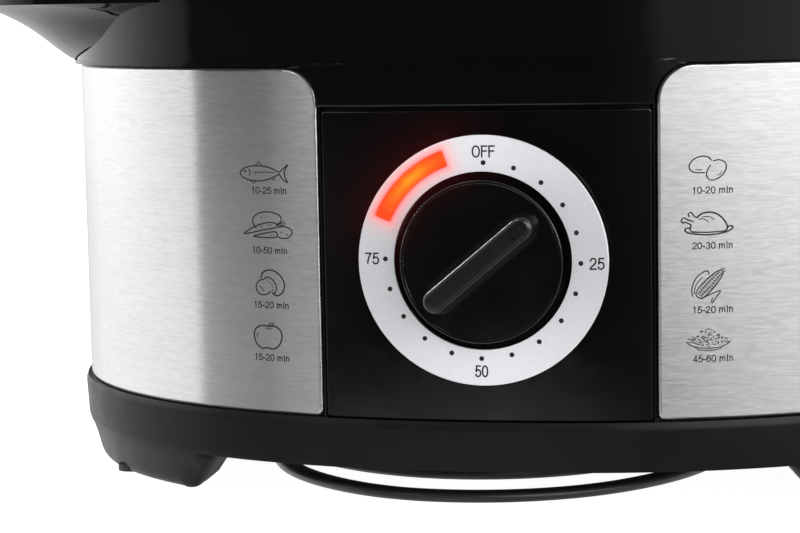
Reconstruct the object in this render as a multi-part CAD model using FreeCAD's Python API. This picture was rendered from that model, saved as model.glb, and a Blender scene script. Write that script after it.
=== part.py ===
import FreeCAD, Part
import math
import os

V = FreeCAD.Vector
os.makedirs("parts", exist_ok=True)

# ---------------------------------------------------------------- driving dimensions (mm)
# Floor is z = 0, the front faces -Y, +X is to the right, the origin is the centre of the base.
A = 150.0            # half width of the steel-clad body
B = 118.63           # half depth of the steel-clad body
N = 2.262            # exponent of the superellipse plan
Z_SKIRT_TOP = 27.3   # top of the lower moulding, bottom of the steel
Z_SKIRT_BOT = 12.6   # bottom edge of the skirt between the legs
Z_STEEL_TOP = 130.3
Z_SHELL_TOP = 149.8
STEEL_T = 1.5        # hemmed sheet with its carrier edge
STEEL_X = 49.0       # inner edge of a steel panel
STEEL_R_TOP = 10.5   # its upper inner corner
STEEL_R_BOT = 2.2
UP_OFF = 1.5         # the upper wall stands proud of the steel
SHELL_IN = -4.5
PANEL_X = 47.9
PANEL_Z0, PANEL_Z1 = 27.4, 117.6
PANEL_T = 2.5
TONGUE_Z = 118.8
RIM_Z0, RIM_Z1 = 149.8, 153.5
RIM_OFF = 2.2
BASIN_OUT, BASIN_IN = -6.0, -8.5
BASIN_Z0, BASIN_Z1 = 97.0, 99.5
# side wings: z, half length at the middle, half width of the plan outline
WING = [(130.9, 153.4, 56.0), (133.5, 156.2, 68.0), (137.5, 160.4, 76.0), (141.5, 165.6, 80.0),
        (145.8, 173.2, 84.0), (148.9, 180.8, 91.0), (149.8, 183.6, 96.0)]
WING_P = 2.5
WING_X0 = 100.0
WING_T = 2.4
MOUTH = (160.0, 178.5, 40.0)     # filling mouth: inner x, outer x, half width
# dial
DIAL_Z = 74.7
DIAL_R, DIAL_RI = 36.1, 25.7
DIAL_Y = -122.4      # front face of the dial ring
RING_T = 1.2
BOSS_R = 36.7
LENS_A0, LENS_A1 = -67.0, -19.5  # degrees from the top, clockwise
LENS_R0, LENS_R1 = 29.1, 33.6
# knob
KNOB_R = 23.4
KNOB_Y0, KNOB_Y1 = -119.3, -125.2
KNOB_RIM = 0.7
BAR_L, BAR_W = 41.0, 10.4
BAR_Y = -134.6
POINTER = 50.0       # pointer angle at rest, clockwise from OFF
SHAFT_R = 3.0
# timer
TIM = 42.0
TIM_Y0, TIM_Y1 = -111.6, -86.0
GEAR_M, GEAR_N, PIN_N = 0.8, 36, 12
# heater
HEAT_R = 46.0
# stack
TRAY_Z = 153.5
PITCH = 65.0
GAP = 0.3
BASK_Z = 155.8       # underside of the lower basket's shoulder
LID_Z = BASK_Z + 2 * PITCH
CORD_D = 3.5


# ---------------------------------------------------------------- helpers
def save(shape, name):
    if isinstance(shape, (list, tuple)):
        shape = Part.makeCompound(list(shape))
    shape.exportStep("parts/%s.step" % name)
    bad = "" if shape.isValid() else "  INVALID"
    print("%-22s solids %d  volume %.0f%s" % (name, len(shape.Solids), shape.Volume, bad))


def sup_pts(off, z, n=40, a=None, b=None):
    a = (A if a is None else a) + off
    b = (B if b is None else b) + off
    out = []
    for i in range(n):
        t = 2 * math.pi * i / n
        c, s = math.cos(t), math.sin(t)
        out.append(V(math.copysign(a * abs(c) ** (2 / N), c), math.copysign(b * abs(s) ** (2 / N), s), z))
    return out


def even_pts(off, z, n=44, a=None, b=None):
    """Points of the plan outline at equal arc steps, so that the closed curve stays smooth."""
    fine = sup_pts(off, z, 1440, a, b)
    acc = [0.0]
    for i in range(1440):
        acc.append(acc[-1] + fine[i].distanceToPoint(fine[(i + 1) % 1440]))
    total = acc[-1]
    out, j = [], 0
    for k in range(n):
        s = total * k / n
        while acc[j + 1] < s:
            j += 1
        f = (s - acc[j]) / (acc[j + 1] - acc[j])
        p, q = fine[j], fine[(j + 1) % 1440]
        out.append(p + (q - p) * f)
    return out


def closed_wire(pts):
    c = Part.BSplineCurve()
    c.interpolate(Points=pts, PeriodicFlag=True)
    return Part.Wire([c.toShape()])


def sup_wire(off, z, a=None, b=None):
    return closed_wire(even_pts(off, z, 32, a, b))


def sup_prism(off, z0, z1, a=None, b=None):
    return Part.Face(sup_wire(off, z0, a, b)).extrude(V(0, 0, z1 - z0))


def sup_band(o, i, z0, z1):
    return sup_prism(o, z0, z1).cut(sup_prism(i, z0 - 1, z1 + 1))


def sup_loft(rows, ruled=True, a=None, b=None):
    return Part.makeLoft([sup_wire(o, z, a, b) for o, z in rows], True, ruled)


def box(x0, y0, z0, x1, y1, z1):
    return Part.makeBox(x1 - x0, y1 - y0, z1 - z0, V(x0, y0, z0))


def cyl(r, p, h, d=(0, 0, 1)):
    return Part.makeCylinder(r, h, V(*p), V(*d))


def tube(r1, r0, p, h, d=(0, 0, 1)):
    return cyl(r1, p, h, d).cut(cyl(r0, (p[0] - d[0], p[1] - d[1], p[2] - d[2]), h + 2, d))


def fuse(items):
    s = items[0]
    if len(items) > 1:
        s = s.multiFuse(items[1:]) if hasattr(s, "multiFuse") else s.fuse(items[1:])
    s = s.removeSplitter()
    return s.Solids[0] if len(s.Solids) == 1 else s


def one(s):
    return s.Solids[0] if len(s.Solids) == 1 else s


def poly_prism(pts, vec):
    w = Part.makePolygon([V(*p) for p in pts] + [V(*pts[0])])
    return Part.Face(w).extrude(V(*vec))


def mirror_x(s):
    return s.mirror(V(0, 0, 0), V(1, 0, 0))


def mirror_y(s):
    return s.mirror(V(0, 0, 0), V(0, 1, 0))


def round_prism_xz(x0, x1, z0, z1, radii, y0, y1):
    """Box outline in XZ with corner radii (x0z0, x1z0, x1z1, x0z1), extruded along Y."""
    r00, r10, r11, r01 = radii
    e = []

    def ln(p, q):
        if p.distanceToPoint(q) > 1e-6:
            e.append(Part.LineSegment(p, q).toShape())

    def arc(cx, cz, r, a0):
        if r > 0:
            p = [V(cx + r * math.cos(math.radians(a)), y0, cz + r * math.sin(math.radians(a))) for a in (a0, a0 + 45, a0 + 90)]
            e.append(Part.Arc(*p).toShape())

    ln(V(x0 + r00, y0, z0), V(x1 - r10, y0, z0))
    arc(x1 - r10, z0 + r10, r10, 270)
    ln(V(x1, y0, z0 + r10), V(x1, y0, z1 - r11))
    arc(x1 - r11, z1 - r11, r11, 0)
    ln(V(x1 - r11, y0, z1), V(x0 + r01, y0, z1))
    arc(x0 + r01, z1 - r01, r01, 90)
    ln(V(x0, y0, z1 - r01), V(x0, y0, z0 + r00))
    arc(x0 + r00, z0 + r00, r00, 180)
    return Part.Face(Part.Wire(e)).extrude(V(0, y1 - y0, 0))


def mid(e):
    return e.valueAt((e.FirstParameter + e.LastParameter) / 2)


def try_fillet(shape, r, pick, label):
    edges = [e for e in shape.Edges if pick(e)]
    if not edges:
        print("no edge to round on", label)
        return shape
    try:
        f = shape.makeFillet(r, edges)
        if f.isValid() and f.Volume > 0:
            return one(f)
    except Exception:
        pass
    print("edge rounding left out on", label)
    return shape


# ---------------------------------------------------------------- steel panels
def steel_zone(grow, y_all=True):
    """Everything in front of and behind the right-hand steel panel's outline."""
    g = grow
    return round_prism_xz(STEEL_X - g, 220, Z_SKIRT_TOP - (g if g else 0), Z_STEEL_TOP + g,
                          (STEEL_R_BOT + g, 0, 0, STEEL_R_TOP + g), -160, 160)


steel_r = one(sup_band(0, -STEEL_T, Z_SKIRT_TOP, Z_STEEL_TOP).common(steel_zone(0)))


def steel_edge(e):
    # long outer boundary edges of the panel: those that lie on the outer surface
    m = e.valueAt((e.FirstParameter + e.LastParameter) / 2)
    r = (abs(m.x) / A) ** N + (abs(m.y) / B) ** N
    return abs(r - 1) < 0.006


steel_r = try_fillet(steel_r, 1.1, steel_edge, "steel panel")
steel_l = mirror_x(steel_r)
save(steel_r, "steel_panel_right")
save(steel_l, "steel_panel_left")

# ---------------------------------------------------------------- wings of the basin
def wing_pts(z, L, W, shrink=0.0, n=15):
    L, W = L - shrink, W - shrink
    out = []
    for i in range(n):
        t = -math.pi / 2 + math.pi * i / (n - 1)
        c, s = math.cos(t), math.sin(t)
        x = WING_X0 + (L - WING_X0) * (max(c, 0.0) ** (2 / WING_P))
        y = math.copysign(W * abs(s) ** (2 / WING_P), s)
        out.append(V(x, y, z))
    return out


def wing_wire(z, L, W, shrink=0.0, x_back=WING_X0):
    p = wing_pts(z, L, W, shrink)
    c = Part.BSplineCurve()
    c.interpolate(p)
    e = [c.toShape()]
    e.append(Part.LineSegment(p[-1], V(x_back, p[-1].y, z)).toShape()) if x_back < WING_X0 else None
    if x_back < WING_X0:
        e.append(Part.LineSegment(V(x_back, p[-1].y, z), V(x_back, p[0].y, z)).toShape())
        e.append(Part.LineSegment(V(x_back, p[0].y, z), p[0]).toShape())
    else:
        e.append(Part.LineSegment(p[-1], p[0]).toShape())
    return Part.Wire(e)


wing_out = Part.makeLoft([wing_wire(z, L, W) for z, L, W in WING], True, False)
top_z, top_L, top_W = WING[-1]
wing_rim = Part.Face(wing_wire(RIM_Z0, top_L + 1.0, top_W + 1.0)).extrude(V(0, 0, RIM_Z1 - RIM_Z0))
mx0, mx1, mw = MOUTH
# filling mouth: a rounded well in the wing whose floor slopes into the basin
cav_rows = [(137.2, 154.0, 30.0), (141.0, 160.0, 33.0), (145.5, 168.5, 36.0), (149.0, mx1 - 3, mw - 2), (154.5, mx1, mw)]


def cav_wire(z, x1, w):
    r = 12.0
    x0 = 135.0
    e = [Part.LineSegment(V(x0, -w, z), V(x1 - r, -w, z)).toShape(),
         Part.Arc(V(x1 - r, -w, z), V(x1 - r + r * math.sin(math.pi / 4), -w + r - r * math.cos(math.pi / 4), z), V(x1, -w + r, z)).toShape(),
         Part.LineSegment(V(x1, -w + r, z), V(x1, w - r, z)).toShape(),
         Part.Arc(V(x1, w - r, z), V(x1 - r + r * math.sin(math.pi / 4), w - r + r * math.cos(math.pi / 4), z), V(x1 - r, w, z)).toShape(),
         Part.LineSegment(V(x1 - r, w, z), V(x0, w, z)).toShape(),
         Part.LineSegment(V(x0, w, z), V(x0, -w, z)).toShape()]
    return Part.Wire(e)


cavity = Part.makeLoft([cav_wire(z, x1, w) for z, x1, w in cav_rows], True, True)

# ---------------------------------------------------------------- body shell
liner = sup_band(-STEEL_T - 0.15, SHELL_IN, Z_SKIRT_TOP + 0.1, Z_SHELL_TOP)
upper = sup_band(UP_OFF, -3.0, Z_STEEL_TOP + 0.15, Z_SHELL_TOP)
bead = sup_band(2.2, -1.0, Z_STEEL_TOP + 0.15, Z_STEEL_TOP + 1.3)
zr = steel_zone(0.15)
band = sup_band(UP_OFF, -3.0, TONGUE_Z, Z_STEEL_TOP + 1.0)
tongue = band.common(box(-62, -160, 100, 62, 0, 140)).cut(zr).cut(mirror_x(zr))
rear = sup_band(0.3, -3.0, Z_SKIRT_TOP + 0.1, Z_STEEL_TOP + 1.0).common(box(-62, 0, 20, 62, 160, 140)).cut(zr).cut(mirror_x(zr))
sides = sup_band(0.0, -3.0, Z_SKIRT_TOP + 0.1, TONGUE_Z + 1.0).common(box(-STEEL_X + 0.15, -160, 20, STEEL_X - 0.15, 0, 140))
sides = sides.cut(box(-PANEL_X - 0.35, -160, 20, PANEL_X + 0.35, 0, 140))
shell = liner.multiFuse([upper, bead, tongue, rear, sides])
# control panel recess and the window behind it
recess = sup_band(12, -PANEL_T - 0.1, 20, TONGUE_Z).common(box(-PANEL_X - 0.35, -160, 20, PANEL_X + 0.35, 0, TONGUE_Z))
shell = shell.cut(recess)
shell = shell.cut(box(-42, -160, 34, 42, -60, 112))
# the wings take the place of the wall at the sides
shell = shell.cut(wing_out)
shell = shell.cut(mirror_x(wing_out))
# screw bosses inside, down to the bottom plate
boss_xy = [(96, 60), (-96, 60), (96, -60), (-96, -60)]
bosses = []
for bx, by in boss_xy:
    bosses.append(cyl(5.0, (bx, by, 15.2), 40).cut(cyl(1.5, (bx, by, 14), 24)))
    k = 1 if bx > 0 else -1
    bosses.append(box(min(bx + 3 * k, bx + 42 * k), by - 1.2, 30, max(bx + 3 * k, bx + 42 * k), by + 1.2, 55).common(sup_prism(SHELL_IN + 0.5, 20, 60)))
shell = one(shell.multiFuse(bosses))
shell = try_fillet(shell, 0.6, lambda e: abs(mid(e).z - TONGUE_Z) < 0.01 and mid(e).y < -B - 1.2, "shell tongue")
save(shell, "body_shell")

# ---------------------------------------------------------------- water basin
bowl = sup_loft([(BASIN_OUT, BASIN_Z0), (BASIN_OUT, RIM_Z0)]).cut(sup_loft([(BASIN_IN - 1.0, BASIN_Z1), (BASIN_IN, 151)]))
rim = sup_band(RIM_OFF, BASIN_IN, RIM_Z0, RIM_Z1)
basin = bowl.multiFuse([rim])
inner = sup_loft([(BASIN_IN - 1.0, BASIN_Z1), (BASIN_IN, 160)])
for k in (0, 1):
    w = wing_out.fuse(wing_rim)
    c = cavity
    if k:
        w, c = mirror_x(w), mirror_x(c)
    basin = basin.fuse(w.cut(inner))
    basin = basin.cut(c)
basin = basin.cut(cyl(38.0, (0, 0, 90), 20))
for i in range(3):
    t = math.radians(30 + 120 * i)
    basin = basin.cut(cyl(2.1, (42 * math.cos(t), 42 * math.sin(t), 90), 20))
basin = one(basin.removeSplitter())
basin = try_fillet(basin, 1.2, lambda e: abs(e.BoundBox.ZMin - RIM_Z1) < 0.01 and abs(e.BoundBox.ZMax - RIM_Z1) < 0.01
                   and (max(abs(e.BoundBox.XMin), abs(e.BoundBox.XMax)) > 183 or e.BoundBox.YMin < -119.5 or e.BoundBox.YMax > 119.5), "basin rim")
save(basin, "water_basin")

# ---------------------------------------------------------------- lower moulding with legs
skirt = sup_loft([(0.6, Z_SKIRT_BOT), (1.2, 14.4), (1.75, 24.6), (1.75, 25.8), (1.2, Z_SKIRT_TOP)]).cut(sup_prism(-3.2, 5, 30))
# inner ledge that carries the body shell
ledge = sup_band(-3.2, -5.6, 15.2, Z_SKIRT_TOP - 0.1).cut(sup_prism(-5.6, 10, 30))
skirt = skirt.fuse(ledge)
# groove for the lower edge of the front panel
skirt = skirt.cut(sup_band(0.05, -PANEL_T - 0.15, PANEL_Z0 - 0.02, 40).common(box(-PANEL_X - 0.3, -160, 20, PANEL_X + 0.3, 0, 40)))


def leg(kx, ky):
    outer = sup_loft([(-3.9, 0.5), (-2.8, 2.0), (-1.9, 5.0), (-0.8, 9.0), (0.3, Z_SKIRT_BOT + 0.6)], False)
    inner_c = sup_prism(-25.0, -5, 40)
    ring = outer.cut(inner_c)
    lo = Part.makePolygon([V(-200, -200, 0), V(-94.5, -200, 0), V(-94.5, -31, 0), V(-200, -31, 0), V(-200, -200, 0)])
    hi = Part.makePolygon([V(-200, -200, 13.2), V(-84.5, -200, 13.2), V(-84.5, -22, 13.2), V(-200, -22, 13.2), V(-200, -200, 13.2)])
    reg = Part.makeLoft([lo, hi], True, True)
    s = one(ring.common(reg))
    s = try_fillet(s, 5.0, lambda e: e.Length > 10 and mid(e).x > -93 and mid(e).y < -86 and abs(mid(e).z - 6.8) < 2.5, "leg corner")
    s = s.cut(box(-128, -70, -1, -112, -44, 2.0))
    if kx > 0:
        s = mirror_x(s)
    if ky > 0:
        s = mirror_y(s)
    return s


legs = [leg(kx, ky) for kx in (-1, 1) for ky in (-1, 1)]
pads = []
leg_floor = []
for kx in (-1, 1):
    for ky in (-1, 1):
        x0, x1 = sorted((kx * 112.2, kx * 127.8))
        y0, y1 = sorted((ky * 44.2, ky * 69.8))
        b = box(x0, y0, 0, x1, y1, 2.0)
        b = b.makeFillet(4.0, [e for e in b.Edges if e.BoundBox.ZLength > 1.5 and e.BoundBox.XLength < 0.1 and e.BoundBox.YLength < 0.1])
        pads.append(b)
skirt = skirt.multiFuse(legs)
save(one(skirt.removeSplitter()), "base_skirt")
save(pads, "foot_pads")

# ---------------------------------------------------------------- bottom plate with the cord winder
plate = sup_prism(-6.0, Z_SKIRT_BOT + 0.8, 15.1)
core = tube(42.0, 39.0, (0, 0, 4.4), 9.1)
core_floor = cyl(42.0, (0, 0, 3.4), 1.6)
flange = cyl(47.0, (0, 0, 3.4), 1.6)
horn = box(34.0, 26.0, 4.0, 50.0, 42.0, 13.6)
plate = plate.multiFuse([core, core_floor, flange, horn])
for sx in (-1, 1):
    for i in range(6):
        x = sx * (62 + 7 * i)
        plate = plate.cut(box(x - 1.5, -16, 10, x + 1.5, 16, 20))
for bx, by in boss_xy:
    plate = plate.cut(cyl(2.2, (bx, by, 10), 8))
# passage for the cord from the horn into the base
plate = plate.cut(cyl(4.2, (42.0, 34.0, 6.0), 12))
EXIT = V(33.9, 36.9, 8.4)
EXIT_DIR = V(-0.94, 0.34, 0)
EXIT_DIR.normalize()
plate = plate.cut(cyl(3.4, tuple(EXIT + EXIT_DIR * 1.5), 12, tuple(EXIT_DIR * -1)))
# notch in the flange and the horn's face for the strain relief
side = V(-EXIT_DIR.y, EXIT_DIR.x, 0)
notch = [EXIT + side * 4.7, EXIT - side * 4.7, EXIT + EXIT_DIR * 22 - side * 3.3, EXIT + EXIT_DIR * 22 + side * 3.3]
plate = plate.cut(poly_prism([(q.x, q.y, 3.0) for q in notch], (0, 0, 10.2)))
plate = one(plate.removeSplitter())
save(plate, "bottom_plate")

screws = []
for bx, by in boss_xy:
    head = cyl(3.6, (bx, by, 11.2), 2.2)
    head = head.cut(box(bx - 2.4, by - 0.5, 10, bx + 2.4, by + 0.5, 12.1)).cut(box(bx - 0.5, by - 2.4, 10, bx + 0.5, by + 2.4, 12.1))
    screws.append(one(head.fuse(cyl(1.5, (bx, by, 13.3), 16))))
save(screws, "bottom_screws")

# ---------------------------------------------------------------- cord gear
relief = []
p0 = EXIT
cone = Part.makeCone(4.3, 2.75, 21.0, p0, EXIT_DIR)
hole_r = CORD_D / 2
cone = cone.cut(Part.makeCylinder(hole_r, 30, p0 - EXIT_DIR * 4, EXIT_DIR))
for k in range(4):
    c0 = p0 + EXIT_DIR * (4.0 + 4.0 * k)
    ringc = Part.makeCylinder(6, 1.2, c0, EXIT_DIR).cut(Part.makeCylinder(3.6 - 0.28 * k - 0.4, 1.2, c0, EXIT_DIR))
    cone = cone.cut(ringc)
neck = Part.makeCylinder(3.3, 6.0, p0 - EXIT_DIR * 5.9, EXIT_DIR).cut(Part.makeCylinder(hole_r, 10, p0 - EXIT_DIR * 7, EXIT_DIR))
relief_s = one(cone.fuse(neck).removeSplitter())
save(relief_s, "strain_relief")

# cord: control points of the route, first and last lie on the exits
CORD = [
    (14.15, 44.04, 8.4), (-2.5, 50.1, 8.2), (-23.0, 52.2, 7.9), (-50.0, 43.0, 7.6), (-73.5, 19.0, 7.3), (-84.5, -12.0, 7.0),
    (-79.5, -45.0, 6.6), (-57.5, -75.5, 6.3), (-26.0, -91.5, 6.1), (9.0, -89.5, 6.1), (39.5, -70.5, 6.3), (56.5, -41.0, 6.6),
    (59.5, -7.0, 3.9), (51.0, 27.0, 1.75), (28.0, 55.5, 1.75), (-7.0, 68.5, 1.75), (-45.0, 62.0, 1.75), (-74.5, 37.0, 1.75),
    (-87.0, 2.5, 1.75), (-82.5, -35.5, 1.75), (-68.5, -74.0, 1.75), (-37.5, -100.5, 1.75), (-3.0, -104.5, 1.75),
    (29.0, -92.5, 1.75), (53.0, -66.0, 1.75), (65.0, -33.5, 1.75), (72.0, 2.0, 1.75), (77.5, 36.0, 1.75), (72.5, 68.0, 1.75),
    (54.0, 96.0, 1.75), (37.0, 124.0, 1.9), (13.5, 141.5, 6.5), (-13.0, 146.5, 9.3), (-34.0, 146.5, 9.3)]


def cord_path(pts):
    P = [V(*p) for p in pts]
    edges = []
    prev = P[0]
    radii = []
    for i in range(1, len(P) - 1):
        a, b, c = P[i - 1], P[i], P[i + 1]
        u = b - a
        w = c - b
        la, lc = u.Length, w.Length
        u.normalize()
        w.normalize()
        turn = math.acos(max(-1, min(1, u.dot(w))))
        d = 0.45 * min(la, lc)
        r = d / math.tan(turn / 2)
        t0, t1 = b - u * d, b + w * d
        bis = (w - u)
        bis.normalize()
        cen = b + bis * (r / math.cos(turn / 2))
        m = cen - bis * r
        edges.append(Part.LineSegment(prev, t0).toShape())
        edges.append(Part.Arc(t0, m, t1).toShape())
        radii.append(r)
        prev = t1
    edges.append(Part.LineSegment(prev, P[-1]).toShape())
    return Part.Wire(edges), radii


path, radii = cord_path(CORD)
print("cord arc radii:", " ".join("%.0f" % r for r in radii), " least %.1f" % min(radii))
print("cord path length %.1f" % path.Length)
start = V(*CORD[0])
d0 = V(*CORD[1]) - start
prof = Part.Wire([Part.Circle(start, d0, CORD_D / 2).toShape()])
cord = path.makePipeShell([prof], True, True)
print("cord volume %.1f, section times length %.1f" % (cord.Volume, math.pi * (CORD_D / 2) ** 2 * path.Length))
save(cord, "power_cord")
# inner end of the cord, from the strain relief to the clamp
clamp = box(34.0, 27.0, 15.2, 50.0, 31.0, 21.0).fuse(box(34.0, 37.0, 15.2, 50.0, 41.0, 21.0)).fuse(box(34.0, 27.0, 19.0, 50.0, 41.0, 21.0))
save(one(clamp.removeSplitter()), "cord_clamp")
tb = box(52.0, 24.0, 15.2, 74.0, 44.0, 27.0)
for i in range(3):
    tb = tb.cut(cyl(2.6, (56.5 + 6.5 * i, 34.0, 19.0), 9.0)).cut(cyl(1.7, (56.5 + 6.5 * i, 23.0, 21.5), 22.0, (0, 1, 0)))
tb = one(tb)
save(tb, "terminal_block")

# plug: contour body with two pins, lying on the floor behind the base
px, py, pz = CORD[-1]
plug = Part.makeCone(4.0, 6.4, 20.0, V(px, py, pz), V(-1, 0, 0)).fuse(
    Part.makeCone(6.4, 8.6, 12.0, V(px - 20.0, py, pz), V(-1, 0, 0)))
ends = []
for x, w, h in ((px - 31.0, 7.5, 7.2), (px - 38.0, 12.5, 8.2), (px - 50.0, 17.4, 9.0), (px - 60.0, 18.0, 9.2)):
    e = []
    r = min(w, h) * 0.82
    pts = [(w, h)]
    q = [V(x, py - w + r, pz - h), V(x, py + w - r, pz - h), V(x, py + w, pz - h + r), V(x, py + w, pz + h - r),
         V(x, py + w - r, pz + h), V(x, py - w + r, pz + h), V(x, py - w, pz + h - r), V(x, py - w, pz - h + r)]
    k = math.sin(math.pi / 4)
    cs = [V(x, py + w - r, pz - h + r), V(x, py + w - r, pz + h - r), V(x, py - w + r, pz + h - r), V(x, py - w + r, pz - h + r)]
    dirs = [V(0, k, -k), V(0, k, k), V(0, -k, k), V(0, -k, -k)]
    for j in range(4):
        e.append(Part.LineSegment(q[2 * j], q[2 * j + 1]).toShape())
        e.append(Part.Arc(q[2 * j + 1], cs[j] + dirs[j] * r, q[(2 * j + 2) % 8]).toShape())
    ends.append(Part.Wire(e))
plug = plug.fuse(Part.makeLoft(ends, True, False))
plug = plug.cut(Part.makeCylinder(hole_r, 6.0, V(px + 1, py, pz), V(-1, 0, 0)))
pins = []
for s in (-9.5, 9.5):
    q = V(px - 60.0 + 8.0, py + s, pz)
    plug = plug.cut(Part.makeCylinder(2.4, 10, q, V(-1, 0, 0)))
    pin = Part.makeCylinder(2.4, 25.5, q, V(-1, 0, 0)).fuse(Part.makeSphere(2.4, q - V(25.5, 0, 0)))
    pins.append(one(pin.removeSplitter()))
plug = one(plug.removeSplitter())
save(plug, "plug_body")
save(pins, "plug_pins")
print("plug lowest", plug.BoundBox.ZMin)

# ---------------------------------------------------------------- front panel, dial and lamp
panel = sup_band(0.0, -PANEL_T, PANEL_Z0, PANEL_Z1).common(
    round_prism_xz(-PANEL_X, PANEL_X, PANEL_Z0, PANEL_Z1, (1.0, 1.0, 1.0, 1.0), -160, -60))


def edge_on_face(e):
    m = mid(e)
    return abs((abs(m.x) / A) ** N + (abs(m.y) / B) ** N - 1) < 0.004


panel = try_fillet(one(panel), 0.5, edge_on_face, "front panel")
dc = (0, 0, DIAL_Z)
boss = cyl(BOSS_R, (0, DIAL_Y + RING_T, DIAL_Z), -(DIAL_Y + RING_T) - 116.2, (0, 1, 0))
panel = panel.fuse(boss)
panel = panel.cut(cyl(DIAL_RI, (0, -125, DIAL_Z), 125 - 118.7, (0, 1, 0)))
panel = panel.cut(cyl(4.2, (0, -125, DIAL_Z), 12, (0, 1, 0)))
panel = panel.cut(cyl(1.6, (34.6, -118.4, 45.7), 1.2, (0, 1, 0)))


def arc_wire(r0, r1, a0, a1, y, rc=0.0):
    """Annular sector seen from the front, angles clockwise from the top."""
    def P(r, a):
        a = math.radians(a)
        return V(r * math.sin(a), y, DIAL_Z + r * math.cos(a))
    am = (a0 + a1) / 2
    if rc <= 0:
        return Part.Wire([Part.Arc(P(r1, a0), P(r1, am), P(r1, a1)).toShape(), Part.LineSegment(P(r1, a1), P(r0, a1)).toShape(),
                          Part.Arc(P(r0, a1), P(r0, am), P(r0, a0)).toShape(), Part.LineSegment(P(r0, a0), P(r1, a0)).toShape()])
    d1 = math.degrees(rc / r1)
    d0 = math.degrees(rc / r0)
    k = 1 - math.sin(math.pi / 4)
    return Part.Wire([
        Part.Arc(P(r1, a0 + d1), P(r1, am), P(r1, a1 - d1)).toShape(),
        Part.Arc(P(r1, a1 - d1), P(r1 - rc * k, a1 - d1 * k), P(r1 - rc, a1)).toShape(),
        Part.LineSegment(P(r1 - rc, a1), P(r0 + rc, a1)).toShape(),
        Part.Arc(P(r0 + rc, a1), P(r0 + rc * k, a1 - d0 * k), P(r0, a1 - d0)).toShape(),
        Part.Arc(P(r0, a1 - d0), P(r0, am), P(r0, a0 + d0)).toShape(),
        Part.Arc(P(r0, a0 + d0), P(r0 + rc * k, a0 + d0 * k), P(r0 + rc, a0)).toShape(),
        Part.LineSegment(P(r0 + rc, a0), P(r1 - rc, a0)).toShape(),
        Part.Arc(P(r1 - rc, a0), P(r1 - rc * k, a0 + d1 * k), P(r1, a0 + d1)).toShape()])


lens = Part.Face(arc_wire(LENS_R0, LENS_R1, LENS_A0, LENS_A1, DIAL_Y - 0.25, 0.9)).extrude(V(0, 4.0, 0))
lens_hole = Part.Face(arc_wire(LENS_R0 - 0.06, LENS_R1 + 0.06, LENS_A0 - 0.15, LENS_A1 + 0.15, DIAL_Y - 2, 0.9)).extrude(V(0, 14.0, 0))
lens = try_fillet(lens, 0.2, lambda e: abs(mid(e).y - (DIAL_Y - 0.25)) < 0.01, "lens")
panel = panel.cut(lens_hole)
# bosses for the timer behind the panel
for sx in (-1, 1):
    panel = panel.fuse(cyl(3.5, (sx * 25.0, -116.9, DIAL_Z), 5.2, (0, 1, 0)).cut(cyl(1.2, (sx * 25.0, -116.0, DIAL_Z), 6, (0, 1, 0))))
panel = one(panel.removeSplitter())
save(panel, "front_panel")
ring = tube(DIAL_R, DIAL_RI, (0, DIAL_Y, DIAL_Z), RING_T, (0, 1, 0)).cut(lens_hole)
ring = try_fillet(one(ring), 0.3, lambda e: abs(mid(e).y - DIAL_Y) < 0.01 and abs(math.hypot(mid(e).x, mid(e).z - DIAL_Z) - DIAL_R) < 0.1, "dial ring")
save(ring, "dial_ring")
save(lens, "indicator_lens")
la = math.radians(-58.0)
lx, lz = 31.3 * math.sin(la), DIAL_Z + 31.3 * math.cos(la)
lamp = Part.makeCylinder(2.6, 9.0, V(lx, -113.0, lz), V(0, 1, 0)).fuse(Part.makeSphere(2.6, V(lx, -113.0, lz)))
save(one(lamp.removeSplitter()), "indicator_lamp")
hold = tube(4.2, 2.65, (lx, -112.5, lz), 6.5, (0, 1, 0))
save(one(hold), "lamp_holder")

# ---------------------------------------------------------------- knob
def at_dial(v):
    """Local (along, across) of the grip bar to the front plane."""
    a = math.radians(POINTER)
    ux, uz = math.sin(a), math.cos(a)
    return V(v[0] * ux + v[1] * uz, v[2], DIAL_Z + v[0] * uz - v[1] * ux)


def capsule(L, W, y, shift=0.0):
    h = L / 2 - W / 2
    r = W / 2
    p = [at_dial((-h + shift, -r, y)), at_dial((h + shift, -r, y)), at_dial((h + shift, r, y)), at_dial((-h + shift, r, y))]
    m1, m2 = at_dial((h + shift + r, 0, y)), at_dial((-h + shift - r, 0, y))
    return Part.Wire([Part.LineSegment(p[0], p[1]).toShape(), Part.Arc(p[1], m1, p[2]).toShape(),
                      Part.LineSegment(p[2], p[3]).toShape(), Part.Arc(p[3], m2, p[0]).toShape()])


disc = cyl(KNOB_R, (0, KNOB_Y1 - KNOB_RIM, DIAL_Z), KNOB_Y0 - KNOB_Y1 + KNOB_RIM, (0, 1, 0))
disc = disc.cut(cyl(KNOB_R - 1.1, (0, KNOB_Y1 - KNOB_RIM - 1, DIAL_Z), 1 + KNOB_RIM, (0, 1, 0)))
disc = try_fillet(one(disc), 0.35, lambda e: abs(mid(e).y - (KNOB_Y1 - KNOB_RIM)) < 0.01, "knob rim")
bar = Part.makeLoft([capsule(BAR_L, BAR_W, KNOB_Y1 + 0.4), capsule(BAR_L - 0.8, BAR_W - 1.6, KNOB_Y1 - 3.0),
                     capsule(BAR_L - 2.6, BAR_W - 4.0, BAR_Y)], True, True)
bar = try_fillet(bar, 1.5, lambda e: abs(mid(e).y - BAR_Y) < 0.01, "grip bar")
knob = disc.fuse(bar)
mk = at_dial((BAR_L / 2 - 6.4, 0, 0))
knob = knob.cut(cyl(1.45, (mk.x, BAR_Y - 1, mk.z), 1.5, (0, 1, 0)))
knob = knob.fuse(cyl(0.95, (mk.x, BAR_Y + 0.15, mk.z), 0.6, (0, 1, 0)))
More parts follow.
